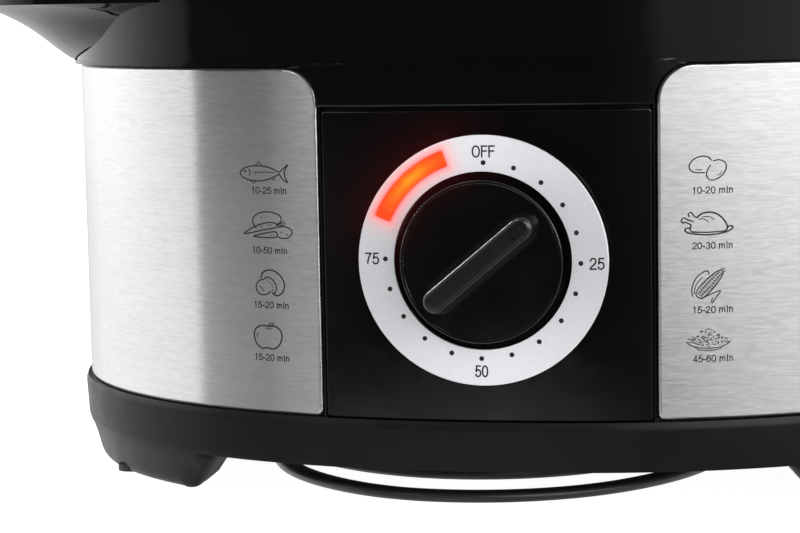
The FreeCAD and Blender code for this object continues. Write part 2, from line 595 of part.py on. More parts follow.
knob = knob.cut(cyl(SHAFT_R + 0.02, (0, KNOB_Y0 - 8.0, DIAL_Z), 10, (0, 1, 0)).common(
    box(-10, -140, DIAL_Z - 10, 10, -100, DIAL_Z + 1.52)))
knob = one(knob.removeSplitter())
save(knob, "knob")
shaft = cyl(SHAFT_R, (0, KNOB_Y0 - 7.9, DIAL_Z), 7.9 + (-KNOB_Y0 - 88.0), (0, 1, 0))
shaft = shaft.cut(box(-5, KNOB_Y0 - 9, DIAL_Z + 1.5, 5, KNOB_Y0 + 0.3, DIAL_Z + 5))
save(one(shaft), "timer_shaft")

# ---------------------------------------------------------------- timer
T2 = TIM / 2
case = box(-T2, TIM_Y0, DIAL_Z - T2, T2, TIM_Y1, DIAL_Z + T2)
case = case.cut(box(-T2 + 1.2, TIM_Y0 + 1.2, DIAL_Z - T2 + 1.2, T2 - 1.2, TIM_Y1 - 1.2, DIAL_Z + T2 - 1.2))
case = case.cut(cyl(SHAFT_R + 0.06, (0, TIM_Y0 - 1, DIAL_Z), 40, (0, 1, 0)))
ear = fuse([box(-30, TIM_Y0, DIAL_Z - 6, -T2 + 0.5, TIM_Y0 + 1.2, DIAL_Z + 6), box(T2 - 0.5, TIM_Y0, DIAL_Z - 6, 30, TIM_Y0 + 1.2, DIAL_Z + 6)])
case = case.fuse(ear)
for sx in (-1, 1):
    case = case.cut(cyl(1.6, (sx * 25.0, TIM_Y0 - 1, DIAL_Z), 4, (0, 1, 0)))
cd = GEAR_M * (GEAR_N + PIN_N) / 2 + 0.2
pc = (cd * math.sin(math.radians(45)), DIAL_Z + cd * math.cos(math.radians(45)))
case = case.cut(cyl(1.06, (pc[0], TIM_Y0 - 1, pc[1]), 40, (0, 1, 0)))
case = one(case.removeSplitter())
save(case, "timer_housing")


def gear(n, m, cx, cz, y, h, phase, bore):
    """Spur gear with narrow straight-flanked teeth; phase in degrees clockwise from the top."""
    pts = []
    ro, rp, rr = m * (n / 2 + 0.85), m * n / 2, m * (n / 2 - 1.2)
    pitch = 360.0 / n
    for i in range(n):
        c = phase + i * pitch
        for da, r in ((-0.30 * pitch, rr), (-0.20 * pitch, rp), (-0.09 * pitch, ro), (0.09 * pitch, ro), (0.20 * pitch, rp), (0.30 * pitch, rr)):
            a = math.radians(c + da)
            pts.append((cx + r * math.sin(a), y, cz + r * math.cos(a)))
    g = poly_prism(pts, (0, h, 0))
    return one(g.cut(Part.makeCylinder(bore, h + 2, V(cx, y - 1, cz), V(0, 1, 0))))


drive = gear(GEAR_N, GEAR_M, 0, DIAL_Z, -104.0, 2.5, 45.0, SHAFT_R)
drive = drive.fuse(tube(6.0, SHAFT_R, (0, -101.5, DIAL_Z), 3.0, (0, 1, 0)))
save(one(drive.removeSplitter()), "timer_drive_gear")
pin = gear(PIN_N, GEAR_M, pc[0], pc[1], -104.5, 3.5, 45.0 + 180.0 + 180.0 / PIN_N, 0.99).fuse(
    Part.makeCylinder(1.0, TIM_Y1 - TIM_Y0, V(pc[0], TIM_Y0, pc[1]), V(0, 1, 0)))
save(one(pin.removeSplitter()), "timer_pinion")
bell = cyl(17.0, (0, TIM_Y1 + 3.0, DIAL_Z), 9.0, (0, 1, 0)).cut(cyl(15.8, (0, TIM_Y1 + 2.0, DIAL_Z), 8.8, (0, 1, 0)))
bell = bell.fuse(tube(3.0, 1.5, (0, TIM_Y1, DIAL_Z), 11.0, (0, 1, 0)))
save(one(bell.removeSplitter()), "timer_bell")
ts = []
for sx in (-1, 1):
    h = cyl(2.6, (sx * 25.0, TIM_Y0 + 1.2, DIAL_Z), 1.6, (0, 1, 0)).cut(box(sx * 25.0 - 2, TIM_Y0 + 2.1, DIAL_Z - 0.4, sx * 25.0 + 2, TIM_Y0 + 4, DIAL_Z + 0.4))
    ts.append(one(h.fuse(cyl(1.2, (sx * 25.0, TIM_Y0 - 3.3, DIAL_Z), 4.7, (0, 1, 0)))))
save(ts, "timer_screws")

# ---------------------------------------------------------------- heater
seal = tube(HEAT_R, 38.2, (0, 0, BASIN_Z1), 1.5)
hp = cyl(HEAT_R, (0, 0, BASIN_Z1 + 1.5), 2.5).fuse(cyl(37.6, (0, 0, 94.0), 8.0)).cut(cyl(34.0, (0, 0, 96.5), 12))
hp = hp.fuse(Part.makeCone(9.0, 5.0, 3.5, V(0, 0, 96.5)))
hscr = []
for i in range(3):
    t = math.radians(30 + 120 * i)
    x, y = 42 * math.cos(t), 42 * math.sin(t)
    seal = seal.cut(cyl(2.1, (x, y, 95), 10))
    hp = hp.cut(cyl(2.0, (x, y, 95), 7.0))
    hscr.append(one(cyl(2.0, (x, y, BASIN_Z0 - 0.1), 5.0).fuse(cyl(3.6, (x, y, BASIN_Z0 - 3.0), 2.9))))
save(one(seal), "heater_seal")
save(one(hp.removeSplitter()), "heater_plate")
save(hscr, "heater_screws")
# sheathed element: three quarters of a ring with two upturned ends
R_E, r_e = 27.0, 3.4
e1 = Part.Wire([Part.Arc(V(R_E * math.cos(math.radians(-60)), R_E * math.sin(math.radians(-60)), 90.5),
                         V(-R_E, 0, 90.5),
                         V(R_E * math.cos(math.radians(60)), R_E * math.sin(math.radians(60)), 90.5)).toShape()])
p0 = V(R_E * math.cos(math.radians(-60)), R_E * math.sin(math.radians(-60)), 90.5)
prof = Part.Wire([Part.Circle(p0, V(math.sin(math.radians(60)), math.cos(math.radians(60)), 0), r_e).toShape()])
el = e1.makePipeShell([prof], True, False)
for s in (-1, 1):
    q = V(R_E * math.cos(math.radians(60)), s * R_E * math.sin(math.radians(60)), 90.5)
    el = el.fuse(Part.makeCylinder(r_e, 11.0, q, V(0, 0, -1))).fuse(Part.makeSphere(r_e, q)).fuse(Part.makeCylinder(1.2, 19.0, q, V(0, 0, -1)))
save(one(el.removeSplitter()), "heating_element")
th = cyl(8.0, (0, 0, 86.5), 7.4).fuse(cyl(6.5, (0, 0, 82.0), 5.0)).fuse(box(-13, -3, 85.6, 13, 3, 86.6))
save(one(th.removeSplitter()), "thermostat")
fz = cyl(2.2, (-12.0, 14.0, 89.0), 20.0, (1, 0, 0)).fuse(cyl(0.6, (-18.0, 14.0, 89.0), 32.0, (1, 0, 0)))
save(one(fz.removeSplitter()), "thermal_fuse")

# leads between the terminal block, timer, lamp and heater
leads = []


def lead(pts, r=1.1):
    w, rad = cord_path(pts)
    p = V(*pts[0])
    return w.makePipeShell([Part.Wire([Part.Circle(p, V(*pts[1]) - p, r).toShape()])], True, True)


q = R_E * math.sin(math.radians(60))
leads.append(lead([(13.5, q, 70.7), (20.0, q + 8, 58.0), (46.0, 36.0, 44.0), (56.5, 34.0, 28.5)]))
leads.append(lead([(13.5, -q, 70.7), (20.0, -q - 6, 60.0), (16.0, -60.0, 62.0), (10.0, -74.0, 50.0), (14.0, -88.0, 51.4)]))
leads.append(lead([(-10.0, -92.0, 51.4), (2.0, -74.0, 42.0), (34.0, -30.0, 34.0), (60.0, 12.0, 36.0), (63.0, 34.0, 28.5)]))
leads.append(lead([(lx, -102.8, lz), (lx - 6, -97.0, lz - 16.0), (-30.0, -80.0, 60.0), (-24.0, -20.0, 34.0), (40.0, 22.0, 32.0), (69.5, 34.0, 28.5)]))
save(leads, "internal_wiring")

# ---------------------------------------------------------------- steam sleeve
sl = tube(52.0, 50.2, (0, 0, BASIN_Z1 + GAP), 36.0).fuse(tube(56.0, 50.2, (0, 0, BASIN_Z1 + GAP + 34.2), 1.8))
for i in range(6):
    t = 60 * i + 30
    b = box(44, -7, 90, 60, 7, 108).rotate(V(0, 0, 0), V(0, 0, 1), t) if False else None
    bb = box(44, -7, 90, 60, 7, 108)
    bb.rotate(V(0, 0, 0), V(0, 0, 1), t)
    sl = sl.cut(bb)
save(one(sl.removeSplitter()), "steam_ring")

# ---------------------------------------------------------------- drip tray
z = TRAY_Z + GAP
tray = sup_band(-0.8, -10.0, z, z + 2.2)
pan = sup_loft([(-15.0, 139.0), (-9.2, z + 2.2)]).cut(sup_loft([(-17.0, 141.0), (-11.2, z + 3.0)]))
tray = tray.fuse(pan)
tray = tray.fuse(cyl(36.0, (0, 0, 139.0), 12.5)).cut(cyl(34.0, (0, 0, 137.0), 20))
for i in range(10):
    for s in (-1, 1):
        if i < 5:
            x = s * (62 + 14 * i)
            chim = round_prism_xz(x - 3.6, x + 3.6, 139.0, 148.0, (0, 0, 0, 0), -26, 26)
            slot = round_prism_xz(x - 2.0, x + 2.0, 137.0, 150.0, (0, 0, 0, 0), -24.4, 24.4)
            tray = tray.fuse(chim).cut(slot)
tray = one(tray.removeSplitter())
save(tray, "drip_tray")


# ---------------------------------------------------------------- baskets
def basket(zb, name):
    zt = zb + PITCH - GAP
    wall = sup_loft([(-3.4, zb + 0.2), (-1.6, zt)]).cut(sup_loft([(-5.6, zb - 1.0), (-3.8, zt + 1.0)]))
    shoulder = sup_band(1.2, -16.6, zb, zb + 2.2)
    neck = sup_band(-14.4, -16.6, zb - 4.4, zb + 2.2)
    lip = sup_band(-14.4, -21.5, zb - 4.4, zb - 2.4)
    bead = sup_band(1.6, -3.6, zt - 2.4, zt)
    parts = [wall, shoulder, neck, lip, bead]
    for s in (-1, 1):
        g = Part.Face(Part.Wire([
            Part.LineSegment(V(s * 140, -42, zt - 11.0), V(s * 158, -42, zt - 11.0)).toShape(),
            Part.Arc(V(s * 158, -42, zt - 11.0), V(s * 166.5, -38.5, zt - 11.0), V(s * 170, -30, zt - 11.0)).toShape(),
            Part.LineSegment(V(s * 170, -30, zt - 11.0), V(s * 170, 30, zt - 11.0)).toShape(),
            Part.Arc(V(s * 170, 30, zt - 11.0), V(s * 166.5, 38.5, zt - 11.0), V(s * 158, 42, zt - 11.0)).toShape(),
            Part.LineSegment(V(s * 158, 42, zt - 11.0), V(s * 140, 42, zt - 11.0)).toShape(),
            Part.LineSegment(V(s * 140, 42, zt - 11.0), V(s * 140, -42, zt - 11.0)).toShape()])).extrude(V(0, 0, 11.0))
        gi = box(min(s * 130, s * 167.6), -39.6, zt - 12, max(s * 130, s * 167.6), 39.6, zt - 2.4)
        gi = gi.makeFillet(8.0, [e for e in gi.Edges if e.BoundBox.ZLength > 5 and e.BoundBox.XLength < 0.1 and e.BoundBox.YLength < 0.1
                                 and abs(mid(e).x) > 160])
        parts.append(g.cut(gi).cut(sup_prism(-3.0, zt - 20, zt + 5)))
    b = parts[0].multiFuse(parts[1:])
    b = one(b.removeSplitter())
    save(b, name)
    # removable perforated floor
    f = sup_prism(-17.0, zb - 2.2, zb - 0.2)
    cut = []
    for ix in range(-8, 9):
        for iy in range(-5, 6):
            x, y = ix * 14.0, iy * 17.0
            if (abs(x) / (A - 28)) ** N + (abs(y) / (B - 26)) ** N < 1:
                cut.append(box(x - 4.5, y - 1.6, zb - 4, x + 4.5, y + 1.6, zb + 2))
    f = f.cut(Part.makeCompound(cut))
    rimf = sup_band(-17.0, -19.0, zb - 0.2, zb + 2.6)
    f = one(f.fuse(rimf).removeSplitter())
    save(f, name + "_floor")


basket(BASK_Z + GAP, "basket_lower")
basket(BASK_Z + GAP + PITCH, "basket_upper")

# ---------------------------------------------------------------- lid
z0 = BASK_Z + GAP + 2 * PITCH
rows = [(-5.8, z0 - 3.0), (-6.0, z0 + 6.0), (-8.0, z0 + 14.0), (-13.0, z0 + 23.0), (-23.0, z0 + 31.0), (-38.0, z0 + 36.5), (-60.0, z0 + 39.5)]
outer = sup_loft(rows, True)
inner_rows = [(-8.0, z0 - 4.0), (-8.2, z0 + 5.6), (-10.2, z0 + 13.0), (-15.2, z0 + 21.4), (-24.6, z0 + 29.0), (-38.8, z0 + 34.2), (-60.0, z0 + 37.2)]
lid = outer.cut(sup_loft(inner_rows, True))
lid = lid.fuse(sup_band(1.6, -7.8, z0, z0 + 2.4))
for s in (-1, 1):
    for k in range(3):
        lid = lid.cut(box(s * 66 - 1.3 + 6 * s * k, -9, z0 + 30, s * 66 + 1.3 + 6 * s * k, 9, z0 + 50))
    lid = lid.cut(cyl(2.1, (s * 38.0, 0, z0 + 30), 14))
lid = one(lid.removeSplitter())
save(lid, "lid")
zt = z0 + 39.5
prof = []
pts_o = [(-46.0, zt + 0.05), (-46.0, zt + 5.0), (-40.0, zt + 15.0), (-26.0, zt + 20.5), (0.0, zt + 22.0), (26.0, zt + 20.5), (40.0, zt + 15.0), (46.0, zt + 5.0), (46.0, zt + 0.05)]
pts_i = [(31.0, zt + 0.05), (29.5, zt + 6.0), (22.0, zt + 11.0), (0.0, zt + 13.0), (-22.0, zt + 11.0), (-29.5, zt + 6.0), (-31.0, zt + 0.05)]
co = Part.BSplineCurve()
co.interpolate([V(x, -9.0, zz) for x, zz in pts_o])
ci = Part.BSplineCurve()
ci.interpolate([V(x, -9.0, zz) for x, zz in pts_i])
hw = Part.Wire([co.toShape(), Part.LineSegment(V(46, -9, zt + 0.05), V(31, -9, zt + 0.05)).toShape(), ci.toShape(),
                Part.LineSegment(V(-31, -9, zt + 0.05), V(-46, -9, zt + 0.05)).toShape()])
handle = Part.Face(hw).extrude(V(0, 18.0, 0))
handle = try_fillet(handle, 2.5, lambda e: abs(abs(mid(e).y) - 9.0) < 0.01 and mid(e).z > zt + 1.0, "lid handle")
for s in (-1, 1):
    handle = handle.cut(cyl(1.6, (s * 38.0, 0, zt - 1), 9))
save(one(handle), "lid_handle")
ls = []
for s in (-1, 1):
    ls.append(one(cyl(1.6, (s * 38.0, 0, z0 + 37.2), 9.8).fuse(cyl(3.4, (s * 38.0, 0, z0 + 35.2), 2.0))))
save(ls, "lid_screws")
print("overall top", handle.BoundBox.ZMax)
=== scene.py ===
import math

import bmesh
import bpy
from mathutils import Matrix, Vector


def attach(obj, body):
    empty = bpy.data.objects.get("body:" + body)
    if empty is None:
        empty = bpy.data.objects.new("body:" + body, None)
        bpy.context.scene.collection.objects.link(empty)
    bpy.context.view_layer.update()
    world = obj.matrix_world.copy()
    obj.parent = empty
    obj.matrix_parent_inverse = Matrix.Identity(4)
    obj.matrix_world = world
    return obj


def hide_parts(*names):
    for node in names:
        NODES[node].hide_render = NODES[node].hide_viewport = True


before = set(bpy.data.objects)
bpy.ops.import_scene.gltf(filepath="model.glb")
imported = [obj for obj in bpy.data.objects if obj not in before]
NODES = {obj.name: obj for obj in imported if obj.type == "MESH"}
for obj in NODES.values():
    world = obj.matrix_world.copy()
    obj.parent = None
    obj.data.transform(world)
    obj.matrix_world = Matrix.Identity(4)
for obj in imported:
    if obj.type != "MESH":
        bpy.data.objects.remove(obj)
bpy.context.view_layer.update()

MM = 0.001

# ------------------------------------------------------------------ dimensions shared with the model (mm)
A, B, N = 150.0, 118.63, 2.262
DIAL_Z = 74.7
DIAL_Y = -122.4
POINTER = 50.0

scene = bpy.context.scene


def link(o):
    scene.collection.objects.link(o)
    return o


def mesh_object(name, verts, faces, smooth=True):
    me = bpy.data.meshes.new(name)
    me.from_pydata([tuple(v) for v in verts], [], faces)
    me.validate()
    if smooth:
        me.polygons.foreach_set("use_smooth", [True] * len(me.polygons))
    me.update()
    return link(bpy.data.objects.new(name, me))


# ------------------------------------------------------------------ camera
yaw, pitch, roll = -0.1786, 0.1174, -0.0181
fwd = Vector((math.sin(yaw) * math.cos(pitch), math.cos(yaw) * math.cos(pitch), -math.sin(pitch)))
right = Vector((math.cos(yaw), -math.sin(yaw), 0.0))
up = right.cross(fwd)
r2 = right * math.cos(roll) + up * math.sin(roll)
u2 = -right * math.sin(roll) + up * math.cos(roll)
cam = bpy.data.cameras.new("camera")
cam.sensor_fit = "HORIZONTAL"
cam.sensor_width = 36.0
cam.lens = 2275.54 * 36.0 / 800.0
cam.clip_start, cam.clip_end = 0.02, 300.0
cam_o = link(bpy.data.objects.new("camera", cam))
m = Matrix((r2, u2, -fwd)).transposed().to_4x4()
m.translation = Vector((0.09158, -0.76246, 0.1498))
cam_o.matrix_world = m
scene.camera = cam_o

# ------------------------------------------------------------------ cord
CORD = [
    (14.15, 44.04, 8.4), (-2.5, 50.1, 8.2), (-23.0, 52.2, 7.9), (-50.0, 43.0, 7.6), (-73.5, 19.0, 7.3), (-84.5, -12.0, 7.0),
    (-79.5, -45.0, 6.6), (-57.5, -75.5, 6.3), (-26.0, -91.5, 6.1), (9.0, -89.5, 6.1), (39.5, -70.5, 6.3), (56.5, -41.0, 6.6),
    (59.5, -7.0, 3.9), (51.0, 27.0, 1.75), (28.0, 55.5, 1.75), (-7.0, 68.5, 1.75), (-45.0, 62.0, 1.75), (-74.5, 37.0, 1.75),
    (-87.0, 2.5, 1.75), (-82.5, -35.5, 1.75), (-68.5, -74.0, 1.75), (-37.5, -100.5, 1.75), (-3.0, -104.5, 1.75),
    (29.0, -92.5, 1.75), (53.0, -66.0, 1.75), (65.0, -33.5, 1.75), (72.0, 2.0, 1.75), (77.5, 36.0, 1.75), (72.5, 68.0, 1.75),
    (54.0, 96.0, 1.75), (37.0, 124.0, 1.9), (13.5, 141.5, 6.5), (-13.0, 146.5, 9.3), (-34.0, 146.5, 9.3)]
CORD_W, CORD_T = 5.9, 3.7


def nurbs_line(points, name):
    c = bpy.data.curves.new(name, "CURVE")
    c.dimensions = "3D"
    c.resolution_u = 14
    s = c.splines.new("NURBS")
    s.points.add(len(points) - 1)
    for p, q in zip(s.points, points):
        p.co = (q[0] * MM, q[1] * MM, q[2] * MM, 1.0)
    s.order_u = 3
    s.use_endpoint_u = True
    o = link(bpy.data.objects.new(name, c))
    bpy.context.view_layer.update()
    me = bpy.data.meshes.new_from_object(o.evaluated_get(bpy.context.evaluated_depsgraph_get()))
    pts = [v.co.copy() for v in me.vertices]
    bpy.data.objects.remove(o)
    bpy.data.meshes.remove(me)
    bpy.data.curves.remove(c)
    return pts


def flat_section(w, t, n=20):
    """Outline of a flat twin cord: two cores side by side with a shallow waist between them."""
    out = []
    for i in range(n):
        a = 2 * math.pi * i / n
        c, s = math.cos(a), math.sin(a)
        x = (w - t) / 2 * math.copysign(min(1.0, abs(c) * 1.9), c) + t / 2 * c
        y = t / 2 * s * (1.0 - 0.07 * math.exp(-(x / (0.16 * w)) ** 2))
        out.append((x, y))
    return out


def sweep(points, section, name, up=Vector((0, 0, 1))):
    verts, faces = [], []
    n = len(section)
    for i, p in enumerate(points):
        t = (points[min(i + 1, len(points) - 1)] - points[max(i - 1, 0)]).normalized()
        side = t.cross(up).normalized()
        nn = side.cross(t).normalized()
        for x, y in section:
            verts.append(p + side * (x * MM) + nn * (y * MM))
    for i in range(len(points) - 1):
        for j in range(n):
            k = (j + 1) % n
            faces.append((i * n + j, i * n + k, (i + 1) * n + k, (i + 1) * n + j))
    faces.append(tuple(range(n - 1, -1, -1)))
    faces.append(tuple((len(points) - 1) * n + j for j in range(n)))
    return mesh_object(name, verts, faces)


line = nurbs_line(CORD, "cord_line")
cord = sweep(line, flat_section(CORD_W, CORD_T), "flat_cord")
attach(cord, "base")
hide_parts("power_cord")

# ------------------------------------------------------------------ floor and light
fl = mesh_object("floor", [(-80, -80, -0.0002), (80, -80, -0.0002), (80, 80, -0.0002), (-80, 80, -0.0002)], [(0, 1, 2, 3)], False)
fl.visible_glossy = False
# a white wall all round, far behind the object, seen straight or through clear plastic only
ring_v = [(60 * math.cos(2 * math.pi * i / 48), 60 * math.sin(2 * math.pi * i / 48), z) for z in (-0.1, 45.0) for i in range(48)]
wall = mesh_object("backdrop", ring_v + [(0, 0, 60.0)], [(i, (i + 1) % 48, 48 + (i + 1) % 48, 48 + i) for i in range(48)]
                   + [(48 + i, 48 + (i + 1) % 48, 96) for i in range(48)])
wall.visible_glossy = wall.visible_diffuse = wall.visible_shadow = False

world = bpy.data.worlds.new("studio")
scene.world = world
world.use_nodes = True
scene.view_settings.view_transform = "Standard"
nt = world.node_tree
nt.nodes.clear()


def wnode(kind, **kw):
    n = nt.nodes.new(kind)
    for k, v in kw.items():
        setattr(n, k, v)
    return n


def grey_ramp(stops, interpolation="LINEAR"):
    n = wnode("ShaderNodeValToRGB")
    n.color_ramp.interpolation = interpolation
    els = n.color_ramp.elements
    els[0].position, els[0].color = stops[0][0], (stops[0][1],) * 3 + (1,)
    els[1].position, els[1].color = stops[-1][0], (stops[-1][1],) * 3 + (1,)
    for pos, val in stops[1:-1]:
        e = els.new(pos)
        e.color = (val,) * 3 + (1,)
    return n


# a studio seen from its middle: azimuth 0 is the front, positive to the object's right;
# one row of brightness above the horizon, one at it and one below it
AZ_UP = [(-180, 0.15), (-165, 0.12), (-151, 0.20), (-140, 0.8), (-126, 1.6), (-115, 2.2), (-100, 2.4), (-80, 2.3), (-69.8, 2.1), (-68.8, 0.07), (-55, 0.05), (-48, 0.14),
         (-43, 0.75), (-36, 1.7), (-29, 1.1), (-25, 0.13), (8, 0.12), (14.5, 0.3), (19, 3.5), (45, 4.6), (90, 4.6), (150, 0.9), (180, 0.15)]
AZ_MID = [(-180, 0.15), (-170, 0.20), (-161, 0.45), (-150, 1.1), (-128, 1.5), (-110, 1.5), (-95, 1.2), (-77, 0.55), (-71, 0.42), (-69.5, 0.08), (-55, 0.07),
          (8, 0.05), (17, 0.12), (20.5, 0.40), (30, 0.45), (50, 0.65), (90, 1.0), (150, 0.8), (180, 0.15)]
AZ_LOW = [(-180, 0.15), (-170, 0.25), (-161, 0.5), (-150, 0.9), (-128, 1.2), (-105, 1.2), (-80, 1.1), (-69.6, 1.0), (-68.6, 0.52), (-55, 0.44), (-43, 0.35), (-38, 0.18),
          (-28, 0.09), (-18, 0.05), (8, 0.045), (17, 0.10), (24, 0.26), (45, 0.42), (90, 0.8), (150, 0.8), (180, 0.15)]
NEAR = [(-180, 0.0), (-60, 0.20), (-45, 0.50), (-15, 0.85), (-5, 0.95), (3, 0.75), (10, 0.42), (17, 0.25), (30, 0.2), (60, 0.0), (180, 0.0)]
tc = wnode("ShaderNodeTexCoord")
sep = wnode("ShaderNodeSeparateXYZ")
neg = wnode("ShaderNodeMath", operation="MULTIPLY")
neg.inputs[1].default_value = -1.0
at = wnode("ShaderNodeMath", operation="ARCTAN2")
mr = wnode("ShaderNodeMapRange")
mr.inputs["From Min"].default_value, mr.inputs["From Max"].default_value = -math.pi, math.pi
nt.links.new(tc.outputs["Generated"], sep.inputs[0])
nt.links.new(sep.outputs["Y"], neg.inputs[0])
nt.links.new(sep.outputs["X"], at.inputs[0])
nt.links.new(neg.outputs[0], at.inputs[1])
nt.links.new(at.outputs[0], mr.inputs["Value"])


def zstep(z0, z1):
    n = wnode("ShaderNodeMapRange")
    n.interpolation_type = "SMOOTHSTEP"
    n.inputs["From Min"].default_value, n.inputs["From Max"].default_value = z0, z1
    nt.links.new(sep.outputs["Z"], n.inputs["Value"])
    return n.outputs[0]


def wmix(fac, c1, c2, blend="MIX"):
    n = wnode("ShaderNodeMixRGB", blend_type=blend)
    for i, c in enumerate((fac, c1, c2)):
        if isinstance(c, (float, tuple)):
            n.inputs[i].default_value = c
        else:
            nt.links.new(c, n.inputs[i])
    return n.outputs[0]


rows = []
for table in (AZ_UP, AZ_MID, AZ_LOW, NEAR):
    r = grey_ramp([((d + 180) / 360.0, v) for d, v in table])
    nt.links.new(mr.outputs[0], r.inputs[0])
    rows.append(r.outputs[0])
env = wmix(zstep(0.03, 0.12), rows[1], rows[0])
env = wmix(zstep(-0.045, -0.085), env, rows[2])
# the near edge of the pale surface in front, seen low in the glossy panel
env = wmix(zstep(-0.156, -0.190), env, wmix(1.0, env, rows[3], "LIGHTEN"))
env = wmix(zstep(0.45, 0.85), env, (0.55, 0.55, 0.56, 1))
bg = wnode("ShaderNodeBackground")
out = wnode("ShaderNodeOutputWorld")
nt.links.new(env, bg.inputs["Color"])
nt.links.new(bg.outputs[0], out.inputs[0])
bg.inputs["Strength"].default_value = 1.0


def area(name, loc, target, sx, sy, radiance, color=(1, 1, 1)):
    l = bpy.data.lights.new(name, "AREA")
    l.shape = "RECTANGLE"
    l.size, l.size_y = sx, sy
    l.energy = radiance * math.pi * sx * sy
    l.color = color
    o = link(bpy.data.objects.new(name, l))
    o.location = loc
    o.rotation_mode = "QUATERNION"
    o.rotation_quaternion = (Vector(target) - Vector(loc)).to_track_quat("-Z", "Y")
    return o


area("softbox_top", (-0.58, -0.80, 1.42), (0, 0, 0.1), 0.62, 0.5, 5.0)
area("softbox_left", (-1.1, 0.1, 0.95), (0, 0, 0.08), 0.35, 0.35, 20.0)


# ------------------------------------------------------------------ materials
def new_mat(name):
    m = bpy.data.materials.new(name)
    m.use_nodes = True
    t = m.node_tree
    p = t.nodes["Principled BSDF"]
    return m, t, p


def add(t, kind, **kw):
    n = t.nodes.new(kind)
    for k, v in kw.items():
        setattr(n, k, v)
    return n


def coords(t, scale=(1, 1, 1), loc=(0, 0, 0), rot=(0, 0, 0)):
    tc = add(t, "ShaderNodeTexCoord")
    mp = add(t, "ShaderNodeMapping")
    mp.inputs["Scale"].default_value = scale
    mp.inputs["Location"].default_value = loc
    mp.inputs["Rotation"].default_value = rot
    t.links.new(tc.outputs["Object"], mp.inputs[0])
    return mp.outputs[0]


def noise(t, vec, scale, detail=4.0, rough=0.5, dist=0.0):
    n = add(t, "ShaderNodeTexNoise")
    n.inputs["Scale"].default_value = scale
    n.inputs["Detail"].default_value = detail
    n.inputs["Roughness"].default_value = rough
    n.inputs["Distortion"].default_value = dist
    t.links.new(vec, n.inputs["Vector"])
    return n.outputs["Fac"]


def maprange(t, val, a, b, c, d):
    n = add(t, "ShaderNodeMapRange")
    for k, v in (("From Min", a), ("From Max", b), ("To Min", c), ("To Max", d)):
        n.inputs[k].default_value = v
    t.links.new(val, n.inputs["Value"])
    return n.outputs[0]


def bump(t, p, height, strength, dist, prev=None):
    n = add(t, "ShaderNodeBump")
    n.inputs["Strength"].default_value = strength
    n.inputs["Distance"].default_value = dist
    t.links.new(height, n.inputs["Height"])
    if prev is not None:
        t.links.new(prev, n.inputs["Normal"])
    t.links.new(n.outputs[0], p.inputs["Normal"])
    return n.outputs[0]


def ramp2(t, val, stops):
    n = add(t, "ShaderNodeValToRGB")
    els = n.color_ramp.elements
    els[0].position, els[0].color = stops[0]
    els[1].position, els[1].color = stops[-1]
    for pos, col in stops[1:-1]:
        e = els.new(pos)
        e.color = col
    t.links.new(val, n.inputs[0])
    return n.outputs[0]


def grey(v, k=1.0):
    return (v, v, v * k, 1.0)


def plastic(name, color, r0, r1, grain=0.0, grain_scale=2200, wave=0.0, tint=0.15, spec=0.5):
    m, t, p = new_mat(name)
    p.inputs["Specular IOR Level"].default_value = spec
    v = coords(t)
    big = noise(t, v, 38, 3)
    c = ramp2(t, big, [(0.3, tuple(x * (1 - tint) for x in color) + (1,)), (0.7, tuple(x * (1 + tint) for x in color) + (1,))])
    t.links.new(c, p.inputs["Base Color"])
    mid = noise(t, v, 120, 5, 0.6)
    t.links.new(maprange(t, mid, 0.3, 0.7, r0, r1), p.inputs["Roughness"])
    prev = None
    if wave:
        prev = bump(t, p, noise(t, v, 22, 2), wave, 0.0006)
    if grain:
        bump(t, p, noise(t, v, grain_scale, 3, 0.6), grain, 0.00004, prev)
    return m


gloss_black = plastic("gloss_black", (0.0012, 0.0012, 0.0013), 0.05, 0.10, grain=0.02, wave=0.03, spec=0.38)
satin_black = plastic("satin_black", (0.0045, 0.0045, 0.0048), 0.30, 0.40, grain=0.35, spec=0.16)
knob_black = plastic("knob_black", (0.0010, 0.0010, 0.0011), 0.07, 0.12, grain=0.04, wave=0.02, spec=0.5)


def lens_distance(t):
    """Distance in mm from the lit window's outline, 0 inside it, from the object's own coordinates."""
    tc = add(t, "ShaderNodeTexCoord")
    sp = add(t, "ShaderNodeSeparateXYZ")
    t.links.new(tc.outputs["Object"], sp.inputs[0])

    def mth(op, a, b=None, c=None):
        n = add(t, "ShaderNodeMath", operation=op)
        for i, v in enumerate((a, b, c)):
            if v is None:
                continue
            if isinstance(v, (int, float)):
                n.inputs[i].default_value = v
            else:
                t.links.new(v, n.inputs[i])
        return n.outputs[0]
    x = mth("MULTIPLY", sp.outputs["X"], 1000.0)
    z = mth("MULTIPLY_ADD", sp.outputs["Z"], 1000.0, -DIAL_Z)
    r = mth("SQRT", mth("ADD", mth("MULTIPLY", x, x), mth("MULTIPLY", z, z)))
    ang = mth("ARCTAN2", x, z)
    ac = mth("MINIMUM", mth("MAXIMUM", ang, math.radians(-66.0)), math.radians(-20.5))
    rc = mth("MINIMUM", mth("MAXIMUM", r, 29.3), 33.4)
    dx = mth("SUBTRACT", x, mth("MULTIPLY", rc, mth("SINE", ac)))
    dz = mth("SUBTRACT", z, mth("MULTIPLY", rc, mth("COSINE", ac)))
    return mth("SQRT", mth("ADD", mth("MULTIPLY", dx, dx), mth("MULTIPLY", dz, dz))), r, ang, mth


# painted lamp light: red emission on a surface that is no lamp, fading with distance from the lit window
def paint_lamp_spill(t, p, stops, reach, strength):
    d = lens_distance(t)[0]
    c = ramp2(t, maprange(t, d, 0.0, reach, 0.0, 1.0), stops)
    t.links.new(c, p.inputs["Emission Color"])
    p.inputs["Emission Strength"].default_value = strength


